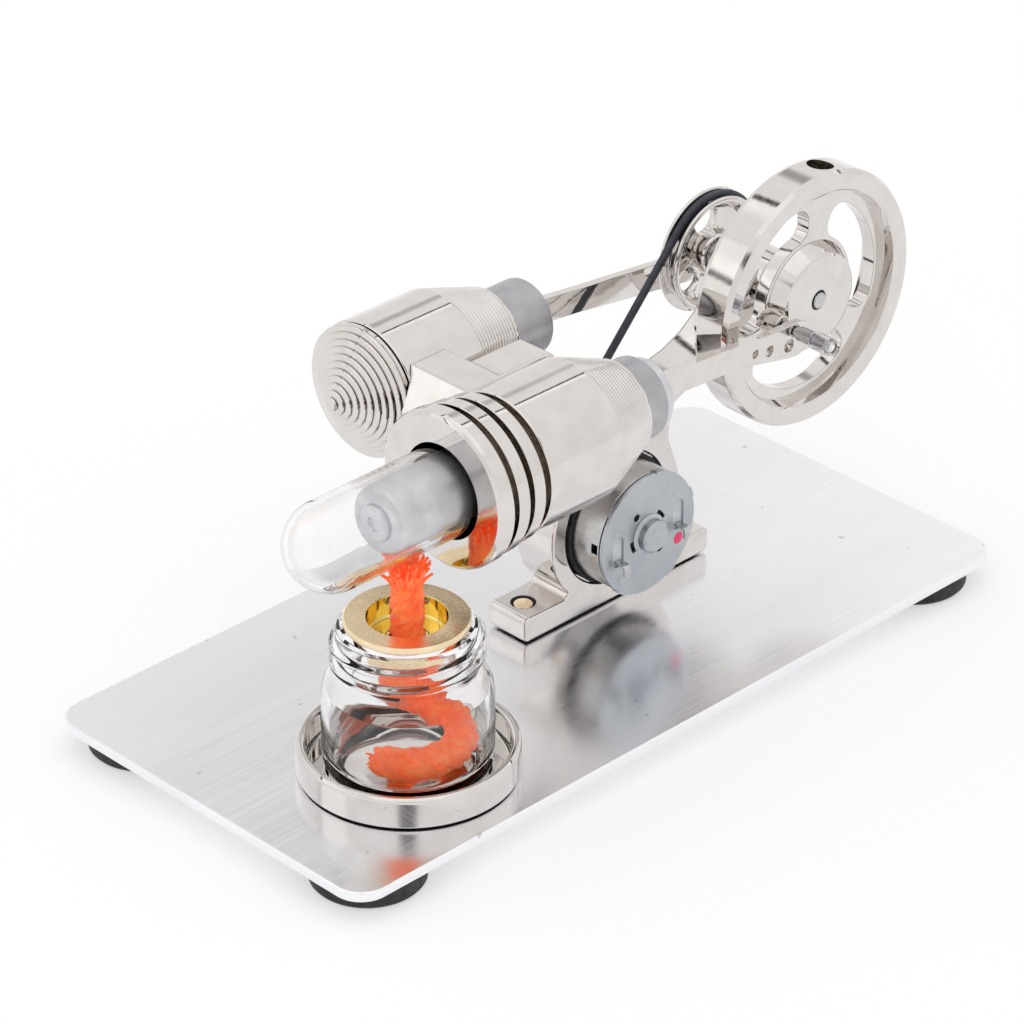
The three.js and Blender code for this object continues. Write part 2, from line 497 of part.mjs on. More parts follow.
/** The outline of a belt stretched round both pulleys, `extra` outside their groove floors. */
function beltOutline(extra) {
  const [dy, dz] = [GEN.y - CRANK_Y, GEN.z - CRANK_Z];
  const [big, small] = [PULLEY.groove + extra, GEN_PULLEY.groove + extra];
  const toward = Math.atan2(dz, dy);
  const lean = Math.acos((big - small) / Math.hypot(dy, dz));
  const shape = new THREE.Shape();
  shape.absarc(CRANK_Y, CRANK_Z, big, toward + lean, toward - lean + Math.PI * 2);
  shape.absarc(GEN.y, GEN.z, small, toward - lean, toward + lean);
  return shape;
}

const belt = slab(beltOutline(GAP + BELT.thick), beltX - BELT.width / 2, beltX + BELT.width / 2, 12)
  .subtract(slab(beltOutline(GAP), beltX - BELT.width, beltX + BELT.width, 12));
add('drive_belt', belt, beltRubber);

const rearBoss = GEN.back - 2;
const can = turned([[0, rearBoss], [3.5, rearBoss], [3.5, GEN.back], [GEN.radius - 1, GEN.back],
  [GEN.radius, GEN.back + 1], [GEN.radius, GEN.front], [GEN.radius - GEN.wall, GEN.front],
  [GEN.radius - GEN.wall, GEN.back + GEN.wall], [0, GEN.back + GEN.wall]])
  .subtract(rod(GEN_SHAFT_R + RUN, -30, 0));
add('generator_can', alongX(can, GEN.y, GEN.z), nickel);

const sleeve = ring(GEN.radius + GAP, GEN.radius + 0.75, GEN.back + 1, FRAME.x1 + 0.6);
add('generator_sleeve', alongX(sleeve, GEN.y, GEN.z), rubber);

const magnetRing = ring(8.6, GEN.radius - GEN.wall - GAP, -3.6, 6.4, 24);
add('generator_magnet', alongX(magnetRing, GEN.y, GEN.z), magnet);
add('generator_armature', alongX(ring(GEN_SHAFT_R + GAP, 8, -3, 6, 24), GEN.y, GEN.z), magnet);

// End plate: two long windows for the terminals, two round holes and two curved slots by the bearing boss.
const END = { back: GEN.front + GAP, front: GEN.front + GAP + 0.8, radius: GEN.radius + 0.1 };
function windowAt(y, z, halfWidth, halfHeight) {
  const [w, h] = [halfWidth, halfHeight - halfWidth];
  const shape = new THREE.Shape();
  shape.absarc(y, z + h, w, 0, Math.PI);
  shape.absarc(y, z - h, w, Math.PI, Math.PI * 2);
  return slab(shape, 0, 20, 5);
}
let endPlate = alongX(rod(END.radius, END.back, END.front, ROUND), GEN.y, GEN.z);
const TERMINALS = [['terminal_burner_side', -7.6, -0.8], ['terminal_flywheel_side', 7.6, 0.8]];
for (const [, dy, dz] of TERMINALS) endPlate = endPlate.subtract(windowAt(GEN.y + dy, GEN.z + dz, 1.3, 3));
for (const a of [125, 305]) {
  const [y, z] = [GEN.y + 5.2 * Math.cos(a * RAD), GEN.z + 5.2 * Math.sin(a * RAD)];
  endPlate = endPlate.subtract(alongX(rod(0.65, 0, 20, 12), y, z));
}
add('generator_end_plate', endPlate, galvanised);

const bushFront = END.front + GAP + 1.9;
const bush = turned([[0, END.front + GAP], [3.1, END.front + GAP], [3.1, bushFront - 0.4], [2.7, bushFront],
  [0, bushFront]], 24);
add('generator_bush', alongX(bush, GEN.y, GEN.z), steel);

for (const [name, dy, dz] of TERMINALS) {
  const [y, z] = [GEN.y + dy, GEN.z + dz];
  const tag = box(GEN.front - 0.4, END.front + 2.4, y - 0.75, y + 0.75, z - 2.2, z - 1.7)
    .add(box(END.front + 1.9, END.front + 2.4, y - 0.75, y + 0.75, z - 4.4, z - 1.7));
  add(name, tag, steel);
}

const shaftEnd = GEN_PULLEY.back - 0.6;
const genShaft = rod(GEN_SHAFT_R, shaftEnd, 6.6);
add('generator_shaft', alongX(genShaft, GEN.y, GEN.z), steel);

const genPulley = turned([[GEN_SHAFT_R + GAP, GEN_PULLEY.back], [GEN_PULLEY.radius, GEN_PULLEY.back],
  [GEN_PULLEY.radius, GEN_PULLEY.back + 0.6], [GEN_PULLEY.groove, GEN_PULLEY.back + 0.9],
  [GEN_PULLEY.groove, GEN_PULLEY.front - 0.9], [GEN_PULLEY.radius, GEN_PULLEY.front - 0.6],
  [GEN_PULLEY.radius, GEN_PULLEY.front], [GEN_SHAFT_R + GAP, GEN_PULLEY.front]], 24);
add('generator_pulley', alongX(genPulley, GEN.y, GEN.z), brass);

export default engine;
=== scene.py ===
"""Looks of a desk-top Stirling engine model: nickel-plated castings, turned sleeves, glass, brass, cotton
and a brushed aluminium base. Lengths here are millimetres and MM turns them into metres; +Y runs from the
burner end to the flywheel end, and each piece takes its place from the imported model."""

import math
import random

import bmesh
import bpy
from mathutils import Matrix, Vector


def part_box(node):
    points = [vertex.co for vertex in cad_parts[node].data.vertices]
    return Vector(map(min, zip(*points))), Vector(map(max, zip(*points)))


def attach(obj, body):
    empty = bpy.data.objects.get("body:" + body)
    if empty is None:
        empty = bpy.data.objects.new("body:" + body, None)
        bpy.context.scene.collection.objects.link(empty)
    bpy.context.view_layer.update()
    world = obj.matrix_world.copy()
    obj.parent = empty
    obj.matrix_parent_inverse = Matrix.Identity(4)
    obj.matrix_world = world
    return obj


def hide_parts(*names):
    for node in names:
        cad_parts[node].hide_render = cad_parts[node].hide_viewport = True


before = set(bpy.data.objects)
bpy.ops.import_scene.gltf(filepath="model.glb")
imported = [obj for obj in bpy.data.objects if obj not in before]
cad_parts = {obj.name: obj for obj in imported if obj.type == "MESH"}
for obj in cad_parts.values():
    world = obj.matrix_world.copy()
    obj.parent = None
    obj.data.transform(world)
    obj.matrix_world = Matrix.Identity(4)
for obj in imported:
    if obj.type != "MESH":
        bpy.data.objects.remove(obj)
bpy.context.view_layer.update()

MM = 0.001
ROUND = 160                      # steps round a large turned piece
SMALL_ROUND = 64                 # steps round a small one
SCREWS = ("mount_screw_burner_end", "mount_screw_flywheel_end")


def box_mm(node):
    """The lowest and highest corner of a CAD node, in millimetres."""
    low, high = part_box(node)
    return Vector(low) / MM, Vector(high) / MM


def middle(node):
    low, high = box_mm(node)
    return (low + high) / 2


def measure(node):
    """The lowest corner, the highest corner and the middle of a CAD node, in millimetres."""
    return *box_mm(node), middle(node)


def polar(centre, radius, degrees):
    """A point (0, y, z) at an angle round a centre, counted from +Y towards +Z."""
    turn = math.radians(degrees)
    return Vector((0, centre.y + radius * math.cos(turn), centre.z + radius * math.sin(turn)))


# ---------------------------------------------------------------- camera

VIEW_AZIMUTH = 45.452
VIEW_ELEVATION = 30.358
VIEW_ROLL = 0.107
VIEW_DISTANCE = 824.815
LENS = 162.92
SENSOR = 36.0
AIM_RIGHT = -4.946               # where the camera aims, from the middle of the plate's top
AIM_UP = 20.806


def make_camera():
    a = math.radians(VIEW_AZIMUTH)
    e = math.radians(VIEW_ELEVATION)
    back = Vector((math.sin(a) * math.cos(e), -math.cos(a) * math.cos(e), math.sin(e)))
    right = Vector((0, 0, 1)).cross(back).normalized()
    up = back.cross(right)
    roll = Matrix.Rotation(math.radians(VIEW_ROLL), 3, back)
    right.rotate(roll)
    up.rotate(roll)
    low, high = box_mm("base_plate")
    aim = Vector(((low.x + high.x) / 2, (low.y + high.y) / 2, high.z)) + right * AIM_RIGHT + up * AIM_UP
    camera = bpy.data.cameras.new("camera")
    camera.lens = LENS
    camera.sensor_width = SENSOR
    camera.clip_start = 0.01
    camera.clip_end = 20
    holder = bpy.data.objects.new("camera", camera)
    turn = Matrix((right, up, back)).transposed().to_4x4()
    holder.matrix_world = Matrix.Translation((aim + back * VIEW_DISTANCE) * MM) @ turn
    bpy.context.scene.collection.objects.link(holder)
    bpy.context.scene.camera = holder


make_camera()


# ---------------------------------------------------------------- materials

def new_material(name):
    material = bpy.data.materials.new(name)
    material.use_nodes = True
    nodes = material.node_tree.nodes
    return material, nodes, material.node_tree.links, nodes["Principled BSDF"]


def add_noise(nodes, links, scale, detail=3.0, stretch=(1, 1, 1)):
    """Noise in the object's own metres, squeezed along an axis where `stretch` is above 1."""
    place = nodes.new("ShaderNodeTexCoord")
    mapping = nodes.new("ShaderNodeMapping")
    mapping.inputs["Scale"].default_value = stretch
    noise = nodes.new("ShaderNodeTexNoise")
    noise.inputs["Scale"].default_value = scale
    noise.inputs["Detail"].default_value = detail
    links.new(place.outputs["Object"], mapping.inputs["Vector"])
    links.new(mapping.outputs["Vector"], noise.inputs["Vector"])
    return noise.outputs["Fac"]


def add_ramp(nodes, links, value, stops):
    """A colour ramp over `value`; stops are (position, colour) or (position, grey)."""
    ramp = nodes.new("ShaderNodeValToRGB")
    elements = ramp.color_ramp.elements
    while len(elements) < len(stops):
        elements.new(0.5)
    for element, (position, colour) in zip(elements, stops):
        element.position = position
        grey = isinstance(colour, (int, float))
        element.color = (colour, colour, colour, 1) if grey else (*colour, 1)
    links.new(value, ramp.inputs["Fac"])
    return ramp.outputs["Color"]


def add_multiply(nodes, links, first, second):
    mix = nodes.new("ShaderNodeMix")
    mix.data_type = "RGBA"
    mix.blend_type = "MULTIPLY"
    mix.inputs[0].default_value = 1.0
    links.new(first, mix.inputs[6])
    links.new(second, mix.inputs[7])
    return mix.outputs[2]


def add_bump(nodes, links, shader, height, strength, distance):
    bump = nodes.new("ShaderNodeBump")
    bump.inputs["Strength"].default_value = strength
    bump.inputs["Distance"].default_value = distance * MM
    links.new(height, bump.inputs["Height"])
    links.new(bump.outputs["Normal"], shader.inputs["Normal"])


def metal(name, dark, light, rough_low, rough_high, grain=900, stretch=(1, 1, 1), bump=0.0, spread=250):
    """A metal whose colour drifts between two tones, with a grain in its roughness and surface."""
    material, nodes, links, shader = new_material(name)
    shader.inputs["Metallic"].default_value = 1.0
    drift = add_noise(nodes, links, spread, 4)
    links.new(add_ramp(nodes, links, drift, [(0.3, dark), (0.7, light)]), shader.inputs["Base Color"])
    fine = add_noise(nodes, links, grain, 4, stretch)
    rough = add_ramp(nodes, links, fine, [(0.3, rough_low), (0.7, rough_high)])
    links.new(rough, shader.inputs["Roughness"])
    if bump:
        add_bump(nodes, links, shader, fine, bump, 0.05)
    return material


def glass_material(name, tint, rough, ior=1.47, edge_shade=0.86):
    """A clear material whose colour darkens towards `edge_shade` where the surface turns away: painted shade
    for the dark outline of glass.
    """
    material, nodes, links, shader = new_material(name)
    shader.inputs["Transmission Weight"].default_value = 1.0
    shader.inputs["IOR"].default_value = ior
    cloud = add_noise(nodes, links, 90, 2)
    body = add_ramp(nodes, links, cloud, [(0.3, tint), (0.7, (1, 1, 1))])
    # painted shade: the colour darkens where the surface turns away, for the dark outline round the glass
    facing = nodes.new("ShaderNodeLayerWeight")
    rim = add_ramp(nodes, links, facing.outputs["Facing"], [(0.45, 1.0), (0.8, edge_shade), (1.0, edge_shade * 0.6)])
    links.new(add_multiply(nodes, links, body, rim), shader.inputs["Base Color"])
    links.new(add_ramp(nodes, links, cloud, [(0.4, rough), (0.8, rough * 2)]), shader.inputs["Roughness"])
    ripple = add_noise(nodes, links, 60, 1)
    add_bump(nodes, links, shader, ripple, 0.15, 0.4)
    return material


def plain(name, dark, light, rough, grain=1200, bump=0.2, depth=0.05, spread=400):
    """A non-metal with a mottled colour and a fine surface grain."""
    material, nodes, links, shader = new_material(name)
    drift = add_noise(nodes, links, spread, 5)
    links.new(add_ramp(nodes, links, drift, [(0.3, dark), (0.7, light)]), shader.inputs["Base Color"])
    fine = add_noise(nodes, links, grain, 5)
    low, high = rough
    links.new(add_ramp(nodes, links, fine, [(0.3, low), (0.7, high)]), shader.inputs["Roughness"])
    add_bump(nodes, links, shader, fine, bump, depth)
    return material


def cotton_material():
    material, nodes, links, shader = new_material("cotton")
    drift = add_noise(nodes, links, 500, 6)
    colours = [(0.25, (0.85, 0.07, 0.012)), (0.5, (0.98, 0.17, 0.035)), (0.8, (1.0, 0.33, 0.09))]
    links.new(add_ramp(nodes, links, drift, colours), shader.inputs["Base Color"])
    shader.inputs["Roughness"].default_value = 0.95
    shader.inputs["Subsurface Weight"].default_value = 0.15
    shader.inputs["Subsurface Radius"].default_value = (0.0012, 0.0004, 0.0002)
    shader.inputs["Sheen Weight"].default_value = 0.4
    # painted glow: the cotton gives off a faint orange light of its own, though it is no lamp
    shader.inputs["Emission Color"].default_value = (1.0, 0.16, 0.03, 1)
    shader.inputs["Emission Strength"].default_value = 0.22
    fibre = add_noise(nodes, links, 2600, 5)
    add_bump(nodes, links, shader, fibre, 0.8, 0.15)
    return material


def plate_material():
    """Brushed aluminium: streaks along Y and small dust specks."""
    material, nodes, links, shader = new_material("brushed_aluminium")
    shader.inputs["Metallic"].default_value = 1.0
    cloud = add_noise(nodes, links, 60, 4, (1, 0.35, 1))
    tones = add_ramp(nodes, links, cloud, [(0.3, (0.90, 0.90, 0.925)), (0.7, (0.95, 0.95, 0.975))])
    specks = add_noise(nodes, links, 420, 2)
    dust = add_ramp(nodes, links, specks, [(0.74, 1.0), (0.78, 0.72)])
    links.new(add_multiply(nodes, links, tones, dust), shader.inputs["Base Color"])
    streak = add_noise(nodes, links, 2400, 3, (1, 0.012, 1))
    links.new(add_ramp(nodes, links, streak, [(0.3, 0.15), (0.7, 0.24)]), shader.inputs["Roughness"])
    add_bump(nodes, links, shader, streak, 0.05, 0.02)
    return material


NICKEL_DARK = (0.68, 0.645, 0.62)
NICKEL_LIGHT = (0.735, 0.705, 0.685)
NICKEL = metal("nickel", NICKEL_DARK, NICKEL_LIGHT, 0.03, 0.075, 700, bump=0.06)
# painted shade: a dark brown nickel laid into the grooves between the head's fins and into the wall of the
# flywheel's rim hole, where shade falls
NICKEL_PAINTED_SHADE = metal("nickel_painted_shade", (0.17, 0.14, 0.115), (0.36, 0.31, 0.26), 0.22, 0.5, 1500, bump=0.5,
                       spread=900)
PLATE = plate_material()
TURNED = metal("turned_aluminium", (0.39, 0.385, 0.405), (0.5, 0.495, 0.515), 0.3, 0.48, 1500,
               (0.3, 6, 0.3), 0.25)
DISPLACER = metal("piston_grey", (0.6, 0.595, 0.625), (0.76, 0.75, 0.78), 0.34, 0.46, 300, (1, 0.3, 1), 0.04)
STEEL = metal("ground_steel", (0.45, 0.45, 0.46), (0.62, 0.62, 0.63), 0.18, 0.35, 1600, (0.4, 5, 0.4), 0.2)
ZINC = metal("zinc_sheet", (0.45, 0.475, 0.505), (0.53, 0.555, 0.585), 0.3, 0.45, 700, bump=0.12, spread=120)
CAN = metal("zinc_can", (0.46, 0.46, 0.45), (0.6, 0.6, 0.59), 0.2, 0.36, 500, bump=0.1, spread=110)
BRASS = metal("brass", (0.86, 0.69, 0.44), (0.95, 0.79, 0.55), 0.2, 0.32, 1400, bump=0.06)
BRASS_BRIGHT = metal("brass_bright", (0.83, 0.6, 0.17), (0.92, 0.72, 0.28), 0.05, 0.12, 600, bump=0.05)
RUBBER = plain("rubber", (0.012, 0.012, 0.013), (0.03, 0.03, 0.032), (0.55, 0.8), 900, 0.5, 0.08)
BELT = plain("belt_rubber", (0.022, 0.025, 0.036), (0.04, 0.043, 0.058), (0.42, 0.6), 1500, 0.25, 0.05)
SINTER = plain("magnet", (0.04, 0.035, 0.035), (0.08, 0.07, 0.07), (0.5, 0.7), 1500, 0.5, 0.05)
TAG_WHITE = plain("terminal_carrier", (0.52, 0.56, 0.59), (0.62, 0.66, 0.69), (0.35, 0.5), 600, 0.1, 0.03)
PAINT = plain("paint_dot", (0.85, 0.03, 0.13), (0.95, 0.1, 0.22), (0.3, 0.45), 500, 0.3, 0.05)
# painted shade: a near-black set into holes and gaps, where there is only shade
PAINTED_SHADE_DARK = plain("painted_shade_inside", (0.01, 0.012, 0.016), (0.03, 0.035, 0.04), (0.5, 0.7), 500, 0.2, 0.05)
GLASS = glass_material("glass", (0.985, 0.99, 0.99), 0.0, 1.33, 0.8)
SLEEVE_CLEAR = glass_material("clear_sleeve", (0.75, 0.73, 0.83), 0.08, 1.4)
COTTON = cotton_material()


# ---------------------------------------------------------------- mesh tools

FLAT_ANGLE = math.radians(32)    # edges sharper than this stay crisp


def rounded(points, radius, closed=False, steps=3):
    """The polyline with each corner turned into an arc; a corner close to straight is left alone."""
    out = []
    count = len(points)
    for i, here in enumerate(points):
        here = Vector(here[:2])
        if not closed and i in (0, count - 1):
            out.append(here)
            continue
        before = Vector(points[i - 1][:2])
        after = Vector(points[(i + 1) % count][:2])
        a, b = before - here, after - here
        if a.length < 1e-6 or b.length < 1e-6:
            out.append(here)
            continue
        inner = a.angle(b)
        if inner > math.radians(158):
            out.append(here)
            continue
        trim = min(radius / math.tan(inner / 2), a.length * 0.45, b.length * 0.45)
        start = here + a.normalized() * trim
        end = here + b.normalized() * trim
        for k in range(steps + 1):
            t = k / steps
            out.append(start.lerp(here, t).lerp(here.lerp(end, t), t))
    return out


def arc(cy, cz, radius, start, end, steps):
    """Points on an arc, angles in degrees from the first axis towards the second."""
    angles = [math.radians(start + (end - start) * k / steps) for k in range(steps + 1)]
    return [(cy + radius * math.cos(t), cz + radius * math.sin(t)) for t in angles]


def to_axis(axis, centre, r, t, turn):
    """A turned point: radius r and angle `turn` about the axis, at t along it."""
    c, s = r * math.cos(turn), r * math.sin(turn)
    if axis == "X":
        return (t, centre[1] + c, centre[2] + s)
    if axis == "Y":
        return (centre[0] + c, t, centre[2] + s)
    return (centre[0] + c, centre[1] + s, t)


def skin(bm, rings, looped=False, closed=True):
    """Faces between rings of vertices. `looped` joins the last ring to the first, `closed` each to itself."""
    for a, b in zip(rings, rings[1:] + rings[:1] if looped else rings[1:]):
        for k in range(len(a) if closed else len(a) - 1):
            m = (k + 1) % len(a)
            bm.faces.new((a[k], a[m], b[m], b[k]))


def heading(points, i):
    """The direction of a line of points at station i."""
    return (points[min(i + 1, len(points) - 1)] - points[max(i - 1, 0)]).normalized()


def revolve(profile, axis, centre, closed=False, segments=ROUND, bulge=None):
    """A bmesh turned from (radius, along) points. `bulge` adds to the radius at (along, angle)."""
    bm = bmesh.new()
    rings = []
    for k in range(segments):
        turn = 2 * math.pi * k / segments
        ring = []
        for r, t in profile:
            grow = bulge(r, t, turn) if bulge and r > 0 else 0
            ring.append(bm.verts.new(to_axis(axis, centre, r + grow, t, turn)))
        rings.append(ring)
    skin(bm, rings, True, closed)
    bmesh.ops.remove_doubles(bm, verts=bm.verts, dist=1e-5)
    bmesh.ops.recalc_face_normals(bm, faces=bm.faces)
    return bm


def turned(profile, axis, centre, fillet=0.15, closed=False, segments=ROUND, bulge=None):
    return revolve(rounded(profile, fillet, closed), axis, centre, closed, segments, bulge)


def bar(radius, start, end, axis, centre, fillet=0.12, segments=SMALL_ROUND):
    profile = [(0, start), (radius, start), (radius, end), (0, end)]
    return turned(profile, axis, centre, fillet, segments=segments)


def hoop(inner, outer, start, end, axis, centre, fillet=0.12, segments=ROUND):
    profile = [(inner, start), (outer, start), (outer, end), (inner, end)]
    return turned(profile, axis, centre, fillet, True, segments)


def flat_shape(loops, low, high, bevel, normal="X", steps=2):
    """A flat piece with rounded edges: the first loop is its outline and the rest are holes."""
    curve = bpy.data.curves.new("outline", "CURVE")
    curve.dimensions = "2D"
    curve.fill_mode = "BOTH"
    curve.extrude = (high - low) / 2 - bevel
    curve.bevel_depth = bevel
    curve.bevel_resolution = steps
    curve.offset = -bevel
    for loop in loops:
        spline = curve.splines.new("POLY")
        spline.points.add(len(loop) - 1)
        spline.use_cyclic_u = True
        for point, (u, v) in zip(spline.points, loop):
            point.co = (u, v, 0, 1)
    holder = bpy.data.objects.new("outline", curve)
    bpy.context.scene.collection.objects.link(holder)
    mesh = evaluated_mesh(holder)
    bm = bmesh.new()
    bm.from_mesh(mesh)
    bpy.data.objects.remove(holder)
    bpy.data.meshes.remove(mesh)
    bpy.data.curves.remove(curve)
    mid = (low + high) / 2
    for vert in bm.verts:
        u, v, w = vert.co
        vert.co = (w + mid, u, v) if normal == "X" else (u, v, w + mid)
    bmesh.ops.remove_doubles(bm, verts=bm.verts, dist=1e-4)
    bmesh.ops.recalc_face_normals(bm, faces=bm.faces)
    return bm


def join(*parts):
    """Several bmeshes as one."""
    whole = bmesh.new()
    for part in parts:
        mesh = bpy.data.meshes.new("part")
        part.to_mesh(mesh)
        part.free()
        whole.from_mesh(mesh)
        bpy.data.meshes.remove(mesh)
    return whole


def new_object(name, bm):
    mesh = bpy.data.meshes.new(name)
    bm.to_mesh(mesh)
    bm.free()
    made = bpy.data.objects.new(name, mesh)
    bpy.context.scene.collection.objects.link(made)
    return made


def evaluated_mesh(source):
    """A new mesh of the object as its curve settings or modifiers make it."""
    bpy.context.view_layer.update()
    return bpy.data.meshes.new_from_object(source.evaluated_get(bpy.context.evaluated_depsgraph_get()))


def combine(base, tools, operation):
    """Exact boolean of a bmesh with others, one after another."""
    body = new_object("tool", base)
    for tool in tools:
        other = new_object("tool", tool)
        step = body.modifiers.new("cut", "BOOLEAN")
        step.operation = operation
        step.solver = "EXACT"
        step.object = other
        mesh = evaluated_mesh(body)
        body.modifiers.clear()
        body.data = mesh
        bpy.data.objects.remove(other)
    result = bmesh.new()
    result.from_mesh(body.data)
    bpy.data.objects.remove(body)
    bmesh.ops.remove_doubles(result, verts=result.verts, dist=1e-4)
    return result


def cut(base, *tools):
    return combine(base, tools, "DIFFERENCE")


def fuse(base, *tools):
    return combine(base, tools, "UNION")


def paint(bm, index, test):
    """Gives faces whose middle passes the test the material at `index`."""
    for face in bm.faces:
        if test(face.calc_center_median()):
            face.material_index = index


def piece(name, bm, materials, body, nodes=(), bevel=0.0):
    """Finishes a bmesh in millimetres as a smooth, shaded piece that rides on a body."""
    bmesh.ops.scale(bm, vec=(MM, MM, MM), verts=bm.verts)
    made = new_object(name, bm)
    mesh = made.data
    for material in materials if isinstance(materials, (list, tuple)) else [materials]:
        mesh.materials.append(material)
    if bevel:
        soften = made.modifiers.new("soften", "BEVEL")
        soften.width = bevel * MM
        soften.segments = 2
        soften.limit_method = "ANGLE"
        soften.angle_limit = math.radians(42)
        mesh = evaluated_mesh(made)
        made.modifiers.clear()
        made.data = mesh
    mesh.polygons.foreach_set("use_smooth", [True] * len(mesh.polygons))
    mesh.set_sharp_from_angle(angle=FLAT_ANGLE)
    weigh = made.modifiers.new("weigh", "WEIGHTED_NORMAL")
    weigh.keep_sharp = True
    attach(made, body)
    if nodes:
        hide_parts(*nodes)
    return made


# ---------------------------------------------------------------- wick

WICK_ROUTE = [(0, 0, 0.0466), (0, 0, 0.0425), (0, 0, 0.0385), (0, 0, 0.0345), (0, 0, 0.0312),
              (-0.0011, -0.0001, 0.028), (-0.003, 0.0004, 0.025), (-0.0052, 0.0018, 0.0223),
              (-0.0066, 0.004, 0.0198), (-0.0062, 0.0066, 0.0175), (-0.0034, 0.0086, 0.0156),
              (0.0004, 0.0091, 0.0143), (0.0042, 0.008, 0.0135), (0.0072, 0.0054, 0.0131),
              (0.0088, 0.002, 0.013), (0.009, -0.0017, 0.013), (0.0076, -0.0052, 0.013),
              (0.005, -0.0077, 0.013), (0.0016, -0.0089, 0.013)]
STRANDS = 7
STRAND_R = 1.15
STRAND_OUT = 1.75                # from the wick's middle to a strand's middle
TWIST_MM = 15.0                  # length of one turn of the twist
TUFT_ENDS = 95


def through(points, steps):
    """A smooth line through the points, `steps` to each stretch (centripetal Catmull-Rom)."""
    ends = [points[0] * 2 - points[1], *points, points[-1] * 2 - points[-2]]
    out = []
    for i in range(1, len(ends) - 2):
        p0, p1, p2, p3 = ends[i - 1:i + 3]
        t1 = (p1 - p0).length ** 0.5
        t2 = t1 + (p2 - p1).length ** 0.5
        t3 = t2 + (p3 - p2).length ** 0.5
        for k in range(steps):
            t = t1 + (t2 - t1) * k / steps
            a1 = p0.lerp(p1, t / t1)
            a2 = p1.lerp(p2, (t - t1) / (t2 - t1))
            a3 = p2.lerp(p3, (t - t2) / (t3 - t2))
            b1 = a1.lerp(a2, t / t2)
            b2 = a2.lerp(a3, (t - t1) / (t3 - t1))
            out.append(b1.lerp(b2, (t - t1) / (t2 - t1)))
    out.append(points[-1].copy())
    return out


def tube(points, radii, sides=8):
    """A closed tube along a line, its ends drawn in to a point."""
    bm = bmesh.new()
    normal = (points[1] - points[0]).orthogonal().normalized()
    rings = []
    for i, here in enumerate(points):
        along = heading(points, i)
        normal = (normal - along * normal.dot(along)).normalized()
        side = along.cross(normal)
        ring = []
        for k in range(sides):
            t = 2 * math.pi * k / sides
            ring.append(bm.verts.new(here + (normal * math.cos(t) + side * math.sin(t)) * radii[i]))
        rings.append(ring)
    skin(bm, rings)
    for ring, centre in ((rings[0], points[0]), (rings[-1], points[-1])):
        tip = bm.verts.new(centre)
        for k in range(sides):
            bm.faces.new((ring[k], ring[(k + 1) % sides], tip))
    bmesh.ops.recalc_face_normals(bm, faces=bm.faces)
    return bm


def wick_line():
    burner = middle("burner_jar")
    start = Vector((burner.x, burner.y, 0)) * MM
    return through([start + Vector(p) for p in WICK_ROUTE], 8)


def make_wick():
    rng = random.Random(7)
    line = [p / MM for p in wick_line()]
    normal = Vector((1, 0, 0))
    frames, total = [], 0.0
    for i, here in enumerate(line):
        along = heading(line, i)
        normal = (normal - along * normal.dot(along)).normalized()
        if i:
            total += (here - line[i - 1]).length
        frames.append((here, normal.copy(), along.cross(normal), total))
    parts = []
    first = 4                    # strands open out into the tuft above this station
    for s in range(STRANDS):
        route, radii = [], []
        for here, u, v, travelled in frames[first:]:
            t = 2 * math.pi * (travelled / TWIST_MM + s / (STRANDS - 1))
            out = 0 if s == STRANDS - 1 else STRAND_OUT
            wave = 1 + 0.06 * math.sin(travelled * 1.9 + s)
            route.append(here + (u * math.cos(t) + v * math.sin(t)) * out * wave)
            left = total - travelled
            radii.append(STRAND_R * (1 + 0.08 * math.sin(travelled * 2.3 + 2 * s)) * min(1, 0.55 + left / 6))
        parts.append(tube(route, radii, 10))
        for _ in range(5):       # loose yarns lying on the strand
            shift = rng.uniform(0, 2 * math.pi)
            lift = rng.uniform(0.75, 1.0)
            a, b = sorted(rng.sample(range(0, len(route) - 1), 2))
            if b - a < 5:
                continue
            yarn = []
            for i in range(a, b + 1):
                here, u, v, travelled = frames[first + i]
                t = shift + travelled * 1.15
                yarn.append(route[i] + (u * math.cos(t) + v * math.sin(t)) * STRAND_R * lift)
            parts.append(tube(yarn, [0.3] * len(yarn), 5))
    top = line[first]
    for _ in range(TUFT_ENDS):   # the frayed tuft under the glass
        turn = rng.uniform(0, 2 * math.pi)
        out = math.sqrt(rng.random())
        lean = out * rng.uniform(0.55, 1.0)
        reach = rng.uniform(4.6, 6.6) * (1 - 0.12 * out)
        sway = rng.uniform(-0.5, 0.5)
        direction = Vector((math.cos(turn), math.sin(turn), 0))
        sideways = Vector((-math.sin(turn), math.cos(turn), 0))
        yarn = []
        for k in range(7):
            t = k / 6
            spread = 2.3 * out + 2.6 * lean * t ** 1.7
            rise = reach * t * (1 - 0.12 * lean * t) - 3.0
            curl = sideways * sway * math.sin(t * 3.0)
            yarn.append(top + Vector((0, 0, rise)) + direction * spread + curl)
        thick = rng.uniform(0.26, 0.46)
        parts.append(tube(yarn, [thick * (1 - 0.35 * k / 6) for k in range(7)], 5))
    for _ in range(26):          # short fibres at the curled end
        here, u, v, _ = frames[-1]
        turn = rng.uniform(0, 2 * math.pi)
        along = (line[-1] - line[-2]).normalized()
        side = (u * math.cos(turn) + v * math.sin(turn)) * rng.uniform(0.3, 2.1)
        start = here + side - along * 1.6
        reach = rng.uniform(1.2, 2.6)
        yarn = [start + along * reach * t + side * 0.35 * t * t + Vector((0, 0, -0.2 * t))
                for t in (0, 0.35, 0.7, 1)]
        parts.append(tube(yarn, [0.3, 0.3, 0.24, 0.14], 5))
    wick = piece("wick_cotton", join(*parts), COTTON, "frame", ["wick"])
    route = wick_line()


make_wick()


# ---------------------------------------------------------------- base

